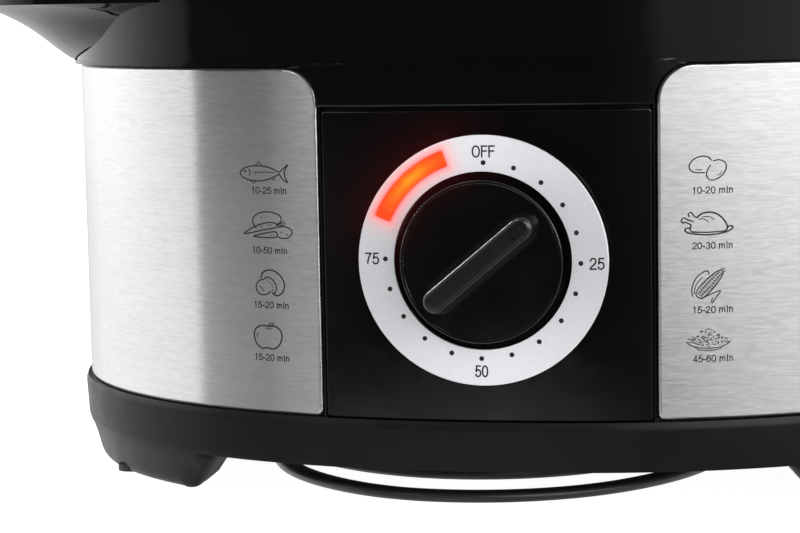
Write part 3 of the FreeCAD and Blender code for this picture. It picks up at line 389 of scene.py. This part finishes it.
panel_black = plastic("panel_black", (0.0011, 0.0011, 0.0012), 0.05, 0.10, grain=0.02, wave=0.03, spec=0.38)
t = panel_black.node_tree
# painted lamp light: the black panel gives off red light within 22 mm of the lit window, standing in for the lamp's
# spill
paint_lamp_spill(t, t.nodes["Principled BSDF"], [(0.0, (0.030, 0.0022, 0.0022, 1)), (0.10, (0.026, 0.0016, 0.0018, 1)), (0.28, (0.010, 0.0006, 0.0007, 1)),
                                     (0.55, (0.0035, 0.0002, 0.0003, 1)), (1.0, (0, 0, 0, 1))], 22.0, 1.0)
t = knob_black.node_tree
# painted lamp light: the knob gives off red light within 22 mm of the lit window, standing in for the lamp's spill on
# its rim
paint_lamp_spill(t, t.nodes["Principled BSDF"], [(0.0, (0.060, 0.0050, 0.0055, 1)), (0.12, (0.036, 0.0024, 0.0027, 1)), (0.25, (0.010, 0.0004, 0.0005, 1)),
                                     (0.50, (0.0015, 0.0001, 0.0001, 1)), (1.0, (0, 0, 0, 1))], 22.0, 1.0)
# the grip bar has a satin face, the disc behind it is polished
p = t.nodes["Principled BSDF"]
front = add(t, "ShaderNodeSeparateXYZ")
t.links.new(add(t, "ShaderNodeTexCoord").outputs["Object"], front.inputs[0])
on_bar = maprange(t, front.outputs["Y"], -0.1275, -0.1262, 1.0, 0.0)
bar_mix = add(t, "ShaderNodeMixRGB")
t.links.new(on_bar, bar_mix.inputs[0])
t.links.new(p.inputs["Base Color"].links[0].from_socket, bar_mix.inputs[1])
bar_mix.inputs[2].default_value = (0.0035, 0.0035, 0.0037, 1)
t.links.new(bar_mix.outputs[0], p.inputs["Base Color"])
bar_rough = add(t, "ShaderNodeMath", operation="MULTIPLY_ADD")
t.links.new(on_bar, bar_rough.inputs[0])
bar_rough.inputs[1].default_value = 0.10
t.links.new(p.inputs["Roughness"].links[0].from_socket, bar_rough.inputs[2])
t.links.new(bar_rough.outputs[0], p.inputs["Roughness"])

# brushed steel: fine horizontal lines on the vertical faces
steel, t, p = new_mat("brushed_steel")
p.inputs["Metallic"].default_value = 1.0
p.inputs["Anisotropic"].default_value = 1.0
p.inputs["Anisotropic Rotation"].default_value = 0.25
tan = add(t, "ShaderNodeTangent", direction_type="RADIAL", axis="Z")
t.links.new(tan.outputs[0], p.inputs["Tangent"])
fine = noise(t, coords(t, (260, 260, 2100)), 1.0, 3, 0.65)
mid = noise(t, coords(t, (70, 70, 900), (3, 1, 7)), 1.0, 3, 0.6)
cloud = noise(t, coords(t, (30, 30, 160), (5, 2, 1)), 1.0, 3, 0.5)
mix = add(t, "ShaderNodeMath", operation="MULTIPLY_ADD")
t.links.new(mid, mix.inputs[0])
mix.inputs[1].default_value = 0.5
t.links.new(fine, mix.inputs[2])
mix2 = add(t, "ShaderNodeMath", operation="MULTIPLY_ADD")
t.links.new(cloud, mix2.inputs[0])
mix2.inputs[1].default_value = 0.3
t.links.new(mix.outputs[0], mix2.inputs[2])
c = ramp2(t, mix2.outputs[0], [(0.68, (0.628, 0.620, 0.627, 1)), (1.12, (0.692, 0.681, 0.686, 1))])
t.links.new(c, p.inputs["Base Color"])
t.links.new(maprange(t, fine, 0.3, 0.7, 0.16, 0.18), p.inputs["Roughness"])
bump(t, p, fine, 0.05, 0.00002)

silver, t, p = new_mat("dial_silver")
v = coords(t)
c = ramp2(t, noise(t, v, 900, 4, 0.7), [(0.35, (0.56, 0.56, 0.583, 1)), (0.65, (0.59, 0.59, 0.613, 1))])
dist, _, ang, mth = lens_distance(t)
# painted sheen: the ring's colour is made lighter and darker by angle round the dial, a reflection painted into the
# base colour
painted_sheen = mth("MULTIPLY_ADD", mth("COSINE", mth("MULTIPLY_ADD", ang, 2.0, math.radians(12))), 0.16, 0.94)
sm = add(t, "ShaderNodeMixRGB", blend_type="MULTIPLY")
sm.inputs[0].default_value = 1.0
t.links.new(c, sm.inputs[1])
t.links.new(painted_sheen, sm.inputs[2])
c = sm.outputs[0]
# painted lamp light: near the lit window the ring's base colour turns red and the ring gives off red light, though it
# is no lamp
painted_glow_mask = ramp2(t, maprange(t, dist, 0.0, 7.0, 0.0, 1.0),
             [(0.0, (1.0,) * 3 + (1,)), (0.06, (0.80,) * 3 + (1,)), (0.15, (0.48,) * 3 + (1,)), (0.32, (0.22,) * 3 + (1,)), (0.6, (0.07,) * 3 + (1,)), (1.0, (0, 0, 0, 1))])
mx = add(t, "ShaderNodeMixRGB")
t.links.new(painted_glow_mask, mx.inputs[0])
t.links.new(c, mx.inputs[1])
near = ramp2(t, maprange(t, dist, 0.0, 7.0, 0.0, 1.0), [(0.0, (0.30, 0.03, 0.01, 1)), (0.045, (0.34, 0.03, 0.01, 1)), (0.075, (0.80, 0.07, 0.06, 1)), (1.0, (0.80, 0.07, 0.06, 1))])
t.links.new(near, mx.inputs[2])
t.links.new(mx.outputs[0], p.inputs["Base Color"])
painted_glow_emission = ramp2(t, maprange(t, dist, 0.0, 7.0, 0.0, 1.0),
              [(0.0, (0.84, 0.034, 0.004, 1)), (0.045, (0.80, 0.030, 0.005, 1)), (0.075, (0.46, 0.024, 0.019, 1)), (0.15, (0.30, 0.014, 0.012, 1)),
               (0.32, (0.136, 0.007, 0.006, 1)), (0.6, (0.043, 0.002, 0.002, 1)), (1.0, (0, 0, 0, 1))])
t.links.new(painted_glow_emission, p.inputs["Emission Color"])
p.inputs["Emission Strength"].default_value = 1.0
p.inputs["Metallic"].default_value = 0.15
t.links.new(maprange(t, noise(t, v, 200, 3), 0.3, 0.7, 0.30, 0.40), p.inputs["Roughness"])
bump(t, p, noise(t, v, 3200, 2), 0.08, 0.00003)


def solid(name, color, rough, metal=0.0, scale=400, vary=0.12, bmp=0.1, **extra):
    m, t, p = new_mat(name)
    v = coords(t)
    c = ramp2(t, noise(t, v, scale, 4, 0.6), [(0.3, tuple(x * (1 - vary) for x in color) + (1,)), (0.7, tuple(min(1, x * (1 + vary)) for x in color) + (1,))])
    t.links.new(c, p.inputs["Base Color"])
    p.inputs["Metallic"].default_value = metal
    t.links.new(maprange(t, noise(t, v, scale * 0.4, 3), 0.3, 0.7, rough * 0.85, rough * 1.15), p.inputs["Roughness"])
    bump(t, p, noise(t, v, scale * 4, 2), bmp, 0.00004)
    for k, val in extra.items():
        p.inputs[k].default_value = val
    return m


rubber = solid("black_rubber", (0.02, 0.02, 0.02), 0.6)
cord_mat = solid("cord_black", (0.013, 0.013, 0.0135), 0.36, scale=900)
zinc = solid("zinc_steel", (0.62, 0.63, 0.65), 0.3, 1.0)
sheath = solid("sheath_steel", (0.5, 0.5, 0.52), 0.35, 1.0)
cast = solid("cast_aluminium", (0.45, 0.45, 0.46), 0.45, 0.9, 300)
silicone = solid("seal_silicone", (0.7, 0.7, 0.68), 0.5)
nylon = solid("white_nylon", (0.78, 0.77, 0.73), 0.45)
wire = solid("wire_white", (0.75, 0.75, 0.72), 0.5)
pins_m = solid("plated_brass", (0.72, 0.72, 0.70), 0.22, 1.0)
brass = solid("brass_gear", (0.7, 0.52, 0.25), 0.3, 1.0)
print_ink = solid("print_ink", (0.012, 0.012, 0.013), 0.55)
print_ink.node_tree.nodes["Principled BSDF"].inputs["Specular IOR Level"].default_value = 0.15

clear, t, p = new_mat("clear_plastic")
p.inputs["Base Color"].default_value = (0.9, 0.93, 0.95, 1)
p.inputs["Transmission Weight"].default_value = 1.0
p.inputs["IOR"].default_value = 1.49
t.links.new(maprange(t, noise(t, coords(t), 90, 3), 0.3, 0.7, 0.02, 0.05), p.inputs["Roughness"])
bump(t, p, noise(t, coords(t), 14, 2), 0.04, 0.0008)

lens_m, t, p = new_mat("amber_lens")
_, r, ang, mth = lens_distance(t)
u = mth("DIVIDE", mth("ADD", ang, math.radians(41.5)), math.radians(24.0))
w = mth("DIVIDE", mth("SUBTRACT", r, 31.25), 3.1)
q = mth("SQRT", mth("ADD", mth("MULTIPLY", u, u), mth("MULTIPLY", w, w)))
q = mth("ADD", q, maprange(t, noise(t, coords(t), 420, 2), 0.3, 0.7, -0.10, 0.10))
ec = ramp2(t, q, [(0.0, (1.0, 0.335, 0.010, 1)), (0.22, (1.0, 0.27, 0.006, 1)), (0.50, (1.0, 0.125, 0.004, 1)), (0.80, (0.93, 0.065, 0.004, 1)), (1.0, (0.82, 0.030, 0.004, 1))])
t.links.new(ec, p.inputs["Emission Color"])
p.inputs["Emission Strength"].default_value = 0.96
p.inputs["Base Color"].default_value = (0.30, 0.03, 0.004, 1)
t.links.new(maprange(t, noise(t, coords(t), 300, 2), 0.3, 0.7, 0.14, 0.2), p.inputs["Roughness"])

USE = {
    "base_skirt": satin_black, "foot_pads": rubber, "bottom_plate": satin_black, "bottom_screws": zinc, "body_shell": gloss_black,
    "water_basin": gloss_black, "steel_panel_left": steel, "steel_panel_right": steel, "front_panel": panel_black, "dial_ring": silver,
    "indicator_lens": lens_m, "indicator_lamp": nylon, "lamp_holder": nylon, "heater_plate": cast, "heating_element": sheath,
    "heater_seal": silicone, "heater_screws": zinc, "thermostat": sheath, "thermal_fuse": nylon, "timer_housing": zinc,
    "timer_bell": zinc, "timer_screws": zinc, "terminal_block": nylon, "internal_wiring": wire, "cord_clamp": satin_black,
    "strain_relief": rubber, "plug_body": cord_mat, "plug_pins": pins_m, "knob": knob_black, "timer_shaft": zinc,
    "timer_drive_gear": brass, "timer_pinion": brass, "steam_ring": satin_black, "drip_tray": satin_black, "basket_lower": clear,
    "basket_lower_floor": satin_black, "basket_upper": clear, "basket_upper_floor": satin_black, "lid": clear,
    "lid_handle": gloss_black, "lid_screws": zinc}
for n, o in NODES.items():
    if n in USE:
        o.data.materials.clear()
        o.data.materials.append(USE[n])
cord.data.materials.append(cord_mat)


def soften(o, limit):
    """Shade the shallow edges of a moulding as one rounded surface; its shape is left as it is."""
    me = o.data
    at_point = {}
    keys = [tuple(round(c * 20000) for c in v.co) for v in me.vertices]
    for poly in me.polygons:
        for vi in poly.vertices:
            at_point.setdefault(keys[vi], []).append((poly.normal.copy(), poly.area))
    cut = math.cos(math.radians(limit))
    normals = [None] * len(me.loops)
    for poly in me.polygons:
        for li, vi in zip(poly.loop_indices, poly.vertices):
            n = Vector((0, 0, 0))
            for m, a in at_point[keys[vi]]:
                if m.dot(poly.normal) > cut:
                    n += m * a
            normals[li] = (n.normalized() if n.length > 0 else poly.normal).to_tuple()
    me.normals_split_custom_set(normals)


for n, limit in (("base_skirt", 28), ("knob", 36)):
    soften(NODES[n], limit)
fm, t, p = new_mat("floor_white")
p.inputs["Base Color"].default_value = (0.34, 0.34, 0.34, 1)
p.inputs["Roughness"].default_value = 0.8
p.inputs["Specular IOR Level"].default_value = 0.1
p.inputs["Emission Color"].default_value = (1, 1, 1, 1)
p.inputs["Emission Strength"].default_value = 0.97
fl.data.materials.append(fm)
wm, t, p = new_mat("backdrop_white")
p.inputs["Base Color"].default_value = (0, 0, 0, 1)
p.inputs["Specular IOR Level"].default_value = 0.0
p.inputs["Emission Color"].default_value = (1, 1, 1, 1)
p.inputs["Emission Strength"].default_value = 1.0
wall.data.materials.append(wm)

# ------------------------------------------------------------------ prints on the steel and the dial
from mathutils.bvhtree import BVHTree


def tree(node):
    me = NODES[node].data
    return BVHTree.FromPolygons([v.co for v in me.vertices], [p.vertices for p in me.polygons])


TREES = {-1: tree("steel_panel_left"), 1: tree("steel_panel_right")}


def on_steel(x, z, lift=0.03):
    """Point just outside the steel wrap at this width and height, all in mm."""
    hit, nor, _, _ = TREES[1 if x > 0 else -1].ray_cast(Vector((x * MM, -0.2, z * MM)), Vector((0, 1, 0)))
    if nor.y > 0:
        nor = -nor
    return hit + nor * lift * MM


def smooth_line(pts, closed=False, sub=6):
    """Rounded line through the points."""
    n = len(pts)
    out = []
    rng = range(n if closed else n - 1)
    for i in rng:
        p0 = pts[(i - 1) % n] if closed or i > 0 else pts[i]
        p1, p2 = pts[i % n], pts[(i + 1) % n]
        p3 = pts[(i + 2) % n] if closed or i + 2 < n else p2
        for k in range(sub):
            f = k / sub
            out.append(tuple(0.5 * (2 * p1[j] + (p2[j] - p0[j]) * f + (2 * p0[j] - 5 * p1[j] + 4 * p2[j] - p3[j]) * f * f
                                    + (3 * p1[j] - p0[j] - 3 * p2[j] + p3[j]) * f ** 3) for j in (0, 1)))
    if not closed:
        out.append(tuple(pts[-1]))
    return out


class Print:
    def __init__(self, cx, cz, kx=1.0, kz=1.0, pen=1.0):
        self.cx, self.cz, self.v, self.f = cx, cz, [], []
        self.kx, self.kz, self.pen = kx, kz, pen

    def stroke(self, pts, w=0.30, closed=False, sub=6, taper=False):
        q = smooth_line([(a * self.kx, b * self.kz) for a, b in pts], closed, sub)
        n = len(q)
        base = len(self.v)
        w *= self.pen
        for i, p in enumerate(q):
            a = q[(i - 1) % n] if closed or i else q[0]
            b = q[(i + 1) % n] if closed or i < n - 1 else q[-1]
            dx, dz = b[0] - a[0], b[1] - a[1]
            d = math.hypot(dx, dz) or 1.0
            ww = w / 2
            if taper:
                ww *= 0.35 + 0.65 * math.sin(math.pi * min(1.0, max(0.0, i / (n - 1))))
            nx, nz = -dz / d * ww, dx / d * ww
            self.v += [(p[0] + nx, p[1] + nz), (p[0] - nx, p[1] - nz)]
        for i in range(n if closed else n - 1):
            j = (i + 1) % n
            self.f.append((base + 2 * i, base + 2 * i + 1, base + 2 * j + 1, base + 2 * j))
        return self

    def dot(self, x, z, r=0.2, n=10):
        base = len(self.v)
        x, z, r = x * self.kx, z * self.kz, r * self.pen
        self.v += [(x + r * math.cos(2 * math.pi * i / n), z + r * math.sin(2 * math.pi * i / n)) for i in range(n)]
        self.f.append(tuple(range(base, base + n)))
        return self

    def done(self, name):
        o = mesh_object(name, [on_steel(self.cx + x, self.cz + z) for x, z in self.v], self.f, False)
        finish_print(o)
        return o


def finish_print(o):
    o.data.materials.append(print_ink)
    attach(o, "base")


# plain upright figures and letters drawn with one pen: advance width and lines, cap height 1
GLYPH = {
    "0": (0.78, [([(0.28, 1.0), (0.49, 0.87), (0.56, 0.5), (0.49, 0.13), (0.28, 0.0), (0.07, 0.13), (0.0, 0.5), (0.07, 0.87)], 2)]),
    "1": (0.78, [([(0.10, 0.80), (0.24, 0.85), (0.34, 1.0)], 1), ([(0.34, 1.0), (0.34, 0.0)], 0)]),
    "2": (0.78, [([(0.02, 0.70), (0.08, 0.91), (0.28, 1.0), (0.48, 0.92), (0.54, 0.72), (0.45, 0.50), (0.22, 0.30), (0.05, 0.13), (0.0, 0.0)], 1), ([(0.0, 0.0), (0.56, 0.0)], 0)]),
    "3": (0.78, [([(0.02, 0.76), (0.10, 0.94), (0.28, 1.0), (0.46, 0.92), (0.51, 0.75), (0.43, 0.58), (0.24, 0.53)], 1),
                 ([(0.24, 0.53), (0.46, 0.46), (0.55, 0.28), (0.47, 0.08), (0.27, 0.0), (0.07, 0.08), (0.0, 0.27)], 1)]),
    "4": (0.78, [([(0.42, 0.0), (0.42, 1.0)], 0), ([(0.42, 1.0), (0.0, 0.27)], 0), ([(0.0, 0.27), (0.58, 0.27)], 0)]),
    "5": (0.78, [([(0.51, 1.0), (0.12, 1.0)], 0), ([(0.12, 1.0), (0.05, 0.50)], 0),
                 ([(0.05, 0.50), (0.16, 0.60), (0.31, 0.64), (0.49, 0.55), (0.56, 0.33), (0.48, 0.10), (0.27, 0.0), (0.07, 0.08), (0.0, 0.25)], 1)]),
    "6": (0.78, [([(0.53, 0.79), (0.45, 0.95), (0.29, 1.0), (0.10, 0.88), (0.01, 0.56), (0.02, 0.30), (0.11, 0.08), (0.29, 0.0), (0.48, 0.09), (0.56, 0.32), (0.49, 0.55),
                   (0.30, 0.63), (0.12, 0.55), (0.03, 0.38)], 1)]),
    "7": (0.78, [([(0.0, 1.0), (0.55, 1.0)], 0), ([(0.55, 1.0), (0.36, 0.69), (0.24, 0.36), (0.18, 0.0)], 1)]),
    "-": (0.47, [([(0.0, 0.36), (0.27, 0.36)], 0)]),
    " ": (0.44, []),
    "m": (1.13, [([(0.0, 0.73), (0.0, 0.0)], 0), ([(0.0, 0.46), (0.07, 0.66), (0.21, 0.72), (0.33, 0.66), (0.37, 0.50), (0.37, 0.25), (0.37, 0.0)], 1),
                 ([(0.37, 0.46), (0.44, 0.66), (0.58, 0.72), (0.70, 0.66), (0.74, 0.50), (0.74, 0.25), (0.74, 0.0)], 1)]),
    "i": (0.34, [([(0.0, 0.73), (0.0, 0.0)], 0), ([(0.0, 1.02), (0.0, 0.90)], 0)]),
    "n": (0.78, [([(0.0, 0.73), (0.0, 0.0)], 0), ([(0.0, 0.46), (0.08, 0.66), (0.24, 0.72), (0.38, 0.65), (0.42, 0.48), (0.42, 0.25), (0.42, 0.0)], 1)]),
    "O": (1.02, [([(0.38, 1.0), (0.64, 0.88), (0.76, 0.5), (0.64, 0.12), (0.38, 0.0), (0.12, 0.12), (0.0, 0.5), (0.12, 0.88)], 2)]),
    "F": (0.80, [([(0.0, 0.0), (0.0, 1.0)], 0), ([(0.0, 1.0), (0.55, 1.0)], 0), ([(0.0, 0.54), (0.48, 0.54)], 0)])}


def set_line(text, cap, pen, width=None):
    """Outline of a line of text, centred, in mm; cap is the full height of the figures with their pen."""
    k = cap - pen
    ends, x = 0.0, 0.0
    lines = []
    for ch in text:
        adv, parts = GLYPH[ch]
        for pts, kind in parts:
            lines.append(([(x + px, py) for px, py in pts], kind))
            ends = max(ends, max(x + px for px, py in pts))
        x += adv
    first = min(q[0] for pts, kind in lines for q in pts)
    kx = k if width is None else (width - pen) / (ends - first)
    g = Print(0, 0)
    for pts, kind in lines:
        q = [((px - (first + ends) / 2) * kx, (py - 0.5) * k) for px, py in pts]
        if kind == 0:
            (ax, ay), (bx, by) = q
            d = math.hypot(bx - ax, by - ay)
            ux, uy = (bx - ax) / d * pen / 2, (by - ay) / d * pen / 2
            q = [(ax - ux * 0.98, ay - uy * 0.98), (bx + ux * 0.98, by + uy * 0.98)]
        g.stroke(q, pen, closed=kind == 2, sub=1 if kind == 0 else 6)
    return g.v, g.f


def time_label(name, text, cx, cz, width=11.3, height=2.05):
    v, f = set_line(text, height, 0.30, width)
    o = mesh_object(name, [on_steel(cx + x, cz + z) for x, z in v], f, False)
    finish_print(o)


Z0 = 27.7
time_label("time_fish", "10-25 min", -65.1, 121.8 - Z0)
time_label("time_vegetables", "10-50 min", -65.3, 104.0 - Z0)
time_label("time_mushroom", "15-20 min", -65.2, 87.7 - Z0)
time_label("time_apple", "15-20 min", -65.4, 71.9 - Z0)
time_label("time_eggs", "10-20 min", 64.8, 121.6 - Z0)
time_label("time_poultry", "20-30 min", 64.7, 105.7 - Z0)
time_label("time_corn", "15-20 min", 64.8, 87.2 - Z0)
time_label("time_rice", "45-60 min", 64.8, 73.0 - Z0)

T = 0.19
g = Print(-66.6, 126.9 - Z0, 1.13, 1.0, 1.25)
g.stroke([(-7.0, -0.1), (-6.1, 1.1), (-4.0, 1.95), (-1.0, 2.15), (1.8, 1.6), (4.4, 0.3)]).stroke([(-7.0, -0.1), (-6.2, -1.2), (-4.2, -2.1), (-1.0, -2.3), (2.0, -1.5), (4.4, -0.15)])
g.stroke([(4.4, 0.3), (5.4, 1.2), (6.9, 2.6)]).stroke([(6.9, 2.6), (6.1, 0.9), (5.9, 0.0), (6.1, -1.1), (6.8, -2.7)]).stroke([(6.8, -2.7), (5.4, -1.7), (4.4, -0.15)])
g.stroke([(-2.3, 2.2), (-1.5, 3.2), (-1.0, 3.1), (-0.7, 2.3)], T).stroke([(-3.8, -2.3), (-3.1, -3.0), (-2.4, -2.5)], T).stroke([(2.3, -1.5), (2.9, -2.0), (3.3, -1.1)], T)
g.stroke([(-4.5, 1.3), (-4.0, 0.3), (-4.3, -0.9)], T).stroke([(-2.9, 0.1), (0.2, 0.35), (3.3, 0.15)], T).dot(-5.5, 0.45, 0.3)
g.done("print_fish")

g = Print(-65.8, 111.6 - Z0, 1.10, 0.90, 1.25)
g.stroke([(-3.4, -1.2), (-4.4, 0.7), (-3.8, 2.8), (-1.6, 4.1), (1.3, 4.2), (3.7, 3.1), (4.1, 1.6), (3.4, 0.5)])
g.stroke([(-7.1, -3.1), (-4.2, -0.9), (-0.6, 0.6), (1.6, 0.8), (2.7, 0.1), (2.2, -0.9), (-1.2, -1.7), (-4.8, -2.7)], closed=True)
g.stroke([(-4.2, -3.9), (-1.6, -3.0), (1.2, -2.3), (2.5, -2.3), (2.9, -3.2), (2.1, -4.1), (-1.0, -4.2)], closed=True)
g.stroke([(3.0, -0.7), (4.9, -0.4), (6.8, -1.3), (7.1, -2.8), (5.9, -4.1), (4.0, -4.3), (3.0, -3.7)])
g.stroke([(2.7, 0.4), (3.8, 0.7), (5.0, 1.4)], T).stroke([(2.8, 0.2), (4.0, 0.4), (5.4, 0.7)], T).stroke([(2.7, -0.1), (4.0, -0.1), (5.2, 0.1)], T)
for x, z in ((0.2, 0.1), (0.9, 0.15), (-1.8, -0.5), (0.9, -3.1), (1.6, -3.0)):
    g.stroke([(x, z), (x + 0.2, z - 0.5)], T)
g.stroke([(-2.1, 2.2), (-1.6, 2.4)], T).stroke([(5.6, -3.2), (6.0, -2.8)], T).stroke([(3.9, -2.5), (4.4, -2.1)], T)
g.done("print_vegetables")

g = Print(-65.4, 94.3 - Z0, 1.08, 1.0, 1.2)
g.stroke([(-2.7, 1.2), (-2.4, 2.7), (-1.0, 3.7), (1.0, 3.7), (3.2, 2.2), (4.3, -0.3), (3.8, -2.5), (2.3, -3.7), (1.2, -3.4), (0.5, -2.7)], 0.36)
g.stroke([(-1.8, 1.2), (-0.9, 1.7), (0.6, 1.1), (1.6, -0.3), (1.9, -1.8), (1.2, -3.2)]).stroke([(-1.7, 1.0), (-3.2, 0.6), (-4.2, -0.8), (-4.0, -2.5), (-2.7, -3.6), (-1.0, -3.4), (0.2, -2.4)])
g.stroke([(-3.4, -1.1), (-2.5, -1.6), (-2.1, -2.6)], T)
for x, z in ((-0.8, 0.8), (0.0, 0.2), (0.6, -0.5), (0.9, -1.3), (0.8, -2.1)):
    g.dot(x, z, 0.17)
g.done("print_mushroom")

g = Print(-66.5, 78.4 - Z0, 1.08, 1.0, 1.2)
g.stroke([(0.2, 2.9), (-2.0, 3.0), (-3.8, 1.8), (-4.2, -0.3), (-3.4, -2.6), (-1.9, -3.8), (-0.2, -3.6), (1.5, -3.9), (3.3, -2.7), (4.2, -0.4), (3.8, 1.7), (2.2, 2.9)], 0.36, closed=True)
g.stroke([(0.2, 2.5), (0.4, 3.3), (0.9, 3.9)]).stroke([(0.5, 3.0), (1.4, 3.3), (1.9, 3.9), (0.9, 3.7)], T).stroke([(-0.8, 2.4), (0.3, 2.0), (1.4, 2.4)], T).stroke([(-3.1, 0.9), (-3.3, 0.0), (-3.1, -0.8)], T)
g.done("print_apple")

g = Print(63.4, 127.9 - Z0, 0.95, 1.0, 1.2)
g.stroke([(1.2, 2.1), (0.2, 3.1), (-1.6, 3.4), (-3.7, 2.8), (-5.2, 1.3), (-5.3, -0.2), (-4.0, -1.1), (-2.2, -1.3), (-0.8, -1.2)])
g.stroke([(1.6, 1.9), (3.2, 2.3), (5.0, 1.6), (5.5, 0.0), (4.5, -1.9), (2.6, -3.2), (0.7, -3.4), (-0.3, -2.1), (0.0, -0.5), (0.9, 0.9)])
g.stroke([(-3.6, -0.3), (-2.6, -0.5), (-1.7, -0.4)], T).stroke([(2.9, -2.2), (3.8, -1.6), (4.4, -0.8)], T)
g.done("print_eggs")

g = Print(63.3, 111.9 - Z0, 0.97, 1.0, 1.3)
g.stroke([(-3.0, 1.9), (-1.6, 3.0), (0.6, 3.4), (3.0, 2.7), (5.0, 0.8), (5.8, -1.2), (5.1, -2.1)], 0.36).stroke([(-4.6, -0.2), (-5.0, -1.5), (-4.3, -2.2)])
g.stroke([(-4.6, -0.2), (-6.2, 0.6), (-7.2, 0.5), (-7.4, 1.4), (-6.6, 1.9), (-5.8, 1.4), (-3.9, 0.8)]).stroke([(-5.3, 2.2), (-5.4, 3.1), (-4.5, 3.4), (-4.0, 2.5), (-2.9, 1.9)])
g.stroke([(-6.6, -1.6), (-5.2, -2.5), (0.2, -3.1), (5.4, -2.4), (7.3, -1.3), (6.9, -0.7), (5.9, -0.9)], 0.34).stroke([(-6.6, -1.6), (-6.0, -1.1), (-5.0, -1.1)]).stroke([(-4.3, -2.2), (0.3, -2.4), (5.1, -2.1)])
g.stroke([(-2.6, 1.4), (-1.0, 1.5), (0.4, 0.5)], T).stroke([(-1.4, 2.1), (0.6, 2.1), (2.0, 1.2)], T)
g.done("print_poultry")

g = Print(63.4, 94.1 - Z0, 1.0, 1.0, 1.35)


def along(u, w, c=(0.7, 0.7), ang=math.radians(47)):
    return (c[0] + u * math.cos(ang) - w * math.sin(ang), c[1] + u * math.sin(ang) + w * math.cos(ang))


g.stroke([along(*q) for q in ((-5.2, 0.0), (-4.6, 1.2), (-2.0, 1.6), (1.6, 1.4), (4.0, 0.9), (4.8, 0.0), (4.0, -0.9), (1.6, -1.4), (-2.0, -1.6), (-4.6, -1.2))], 0.24, closed=True)
for k in range(13):
    u = -4.5 + 0.7 * k
    h = 1.5 * math.sqrt(max(0.05, 1 - (u / 5.3) ** 2))
    g.stroke([along(u, -h), along(u + 0.18, -h / 3), along(u + 0.05, h / 3), along(u + 0.2, h)], 0.17, sub=3)
for w in (-0.55, 0.5):
    g.stroke([along(-4.6, w), along(0, w * 1.1), along(4.2, w * 0.8)], 0.15)
g.stroke([(-4.3, -3.0), (-4.5, -0.6), (-3.2, 2.4), (-0.9, 4.2), (0.2, 4.1), (0.2, 3.2)], 0.24).stroke([(-3.9, -2.2), (-3.3, 0.4), (-1.6, 2.5)], T)
g.stroke([(-1.6, -3.6), (0.9, -2.4), (3.5, -1.5), (2.4, -3.3), (1.2, -5.0), (1.1, -4.0), (1.5, -3.4)], 0.24, sub=4)
g.stroke([along(4.6, 0.4), along(5.6, 0.7)], T).stroke([along(4.8, 0.0), along(5.9, 0.0)], T).stroke([along(4.6, -0.4), along(5.5, -0.8)], T)
g.done("print_corn")

import random
rnd = random.Random(7)
g = Print(63.6, 78.7 - Z0, 0.97, 1.0, 1.35)
g.stroke([(-6.4, -0.6), (-5.2, -1.7), (-2.6, -2.5), (0.0, -2.7), (2.6, -2.5), (5.2, -1.7), (6.4, -0.6)], 0.22).stroke([(-3.9, -2.5), (-2.6, -3.1), (0.0, -3.3), (2.6, -3.1), (3.9, -2.5)], T)
count = 0
while count < 130:
    x, z = rnd.uniform(-5.9, 5.9), rnd.uniform(-2.4, 3.2)
    top = 3.1 * (1 - (abs(x) / 6.2) ** 1.7)
    low = -2.3 + 1.7 * (abs(x) / 6.4) ** 2
    if not (low < z < top - 0.2):
        continue
    a = rnd.uniform(-0.9, 0.9) + (0.4 if x < 0 else -0.4)
    l = rnd.uniform(0.28, 0.5)
    g.stroke([(x - l * math.cos(a) / 2, z - l * math.sin(a) / 2), (x + l * math.cos(a) / 2, z + l * math.sin(a) / 2)], 0.19, sub=1)
    count += 1
g.done("print_rice")

# dial numbers and dots, turned a degree as on the ring
TURN = math.radians(1.2)


def on_dial(r, ang, u=0.0, w=0.0):
    cx, cz = r * math.sin(ang + TURN) + u, r * math.cos(ang + TURN) + w
    return Vector((cx * MM, (DIAL_Y - 0.02) * MM, (DIAL_Z + cz) * MM))


dots = bmesh.new()
for k in range(16):
    a = math.radians(18 * k)
    dots.faces.new([dots.verts.new(on_dial(28.2, a, 0.72 * math.cos(2 * math.pi * i / 20), 0.72 * math.sin(2 * math.pi * i / 20))) for i in range(20)])
me = bpy.data.meshes.new("dial_dots")
dots.to_mesh(me)
dots.free()
o = link(bpy.data.objects.new("dial_dots", me))
finish_print(o)
for name, text, ang, rad, wide in (("dial_off", "OFF", 0, 31.4, 6.7), ("dial_25", "25", 90, 32.8, 4.3), ("dial_50", "50", 180, 31.9, 3.9), ("dial_75", "75", 270, 32.1, 4.1)):
    v, f = set_line(text, 3.5, 0.46, wide)
    o = mesh_object(name, [on_dial(rad, math.radians(ang), x, z) for x, z in v], f, False)
    finish_print(o)
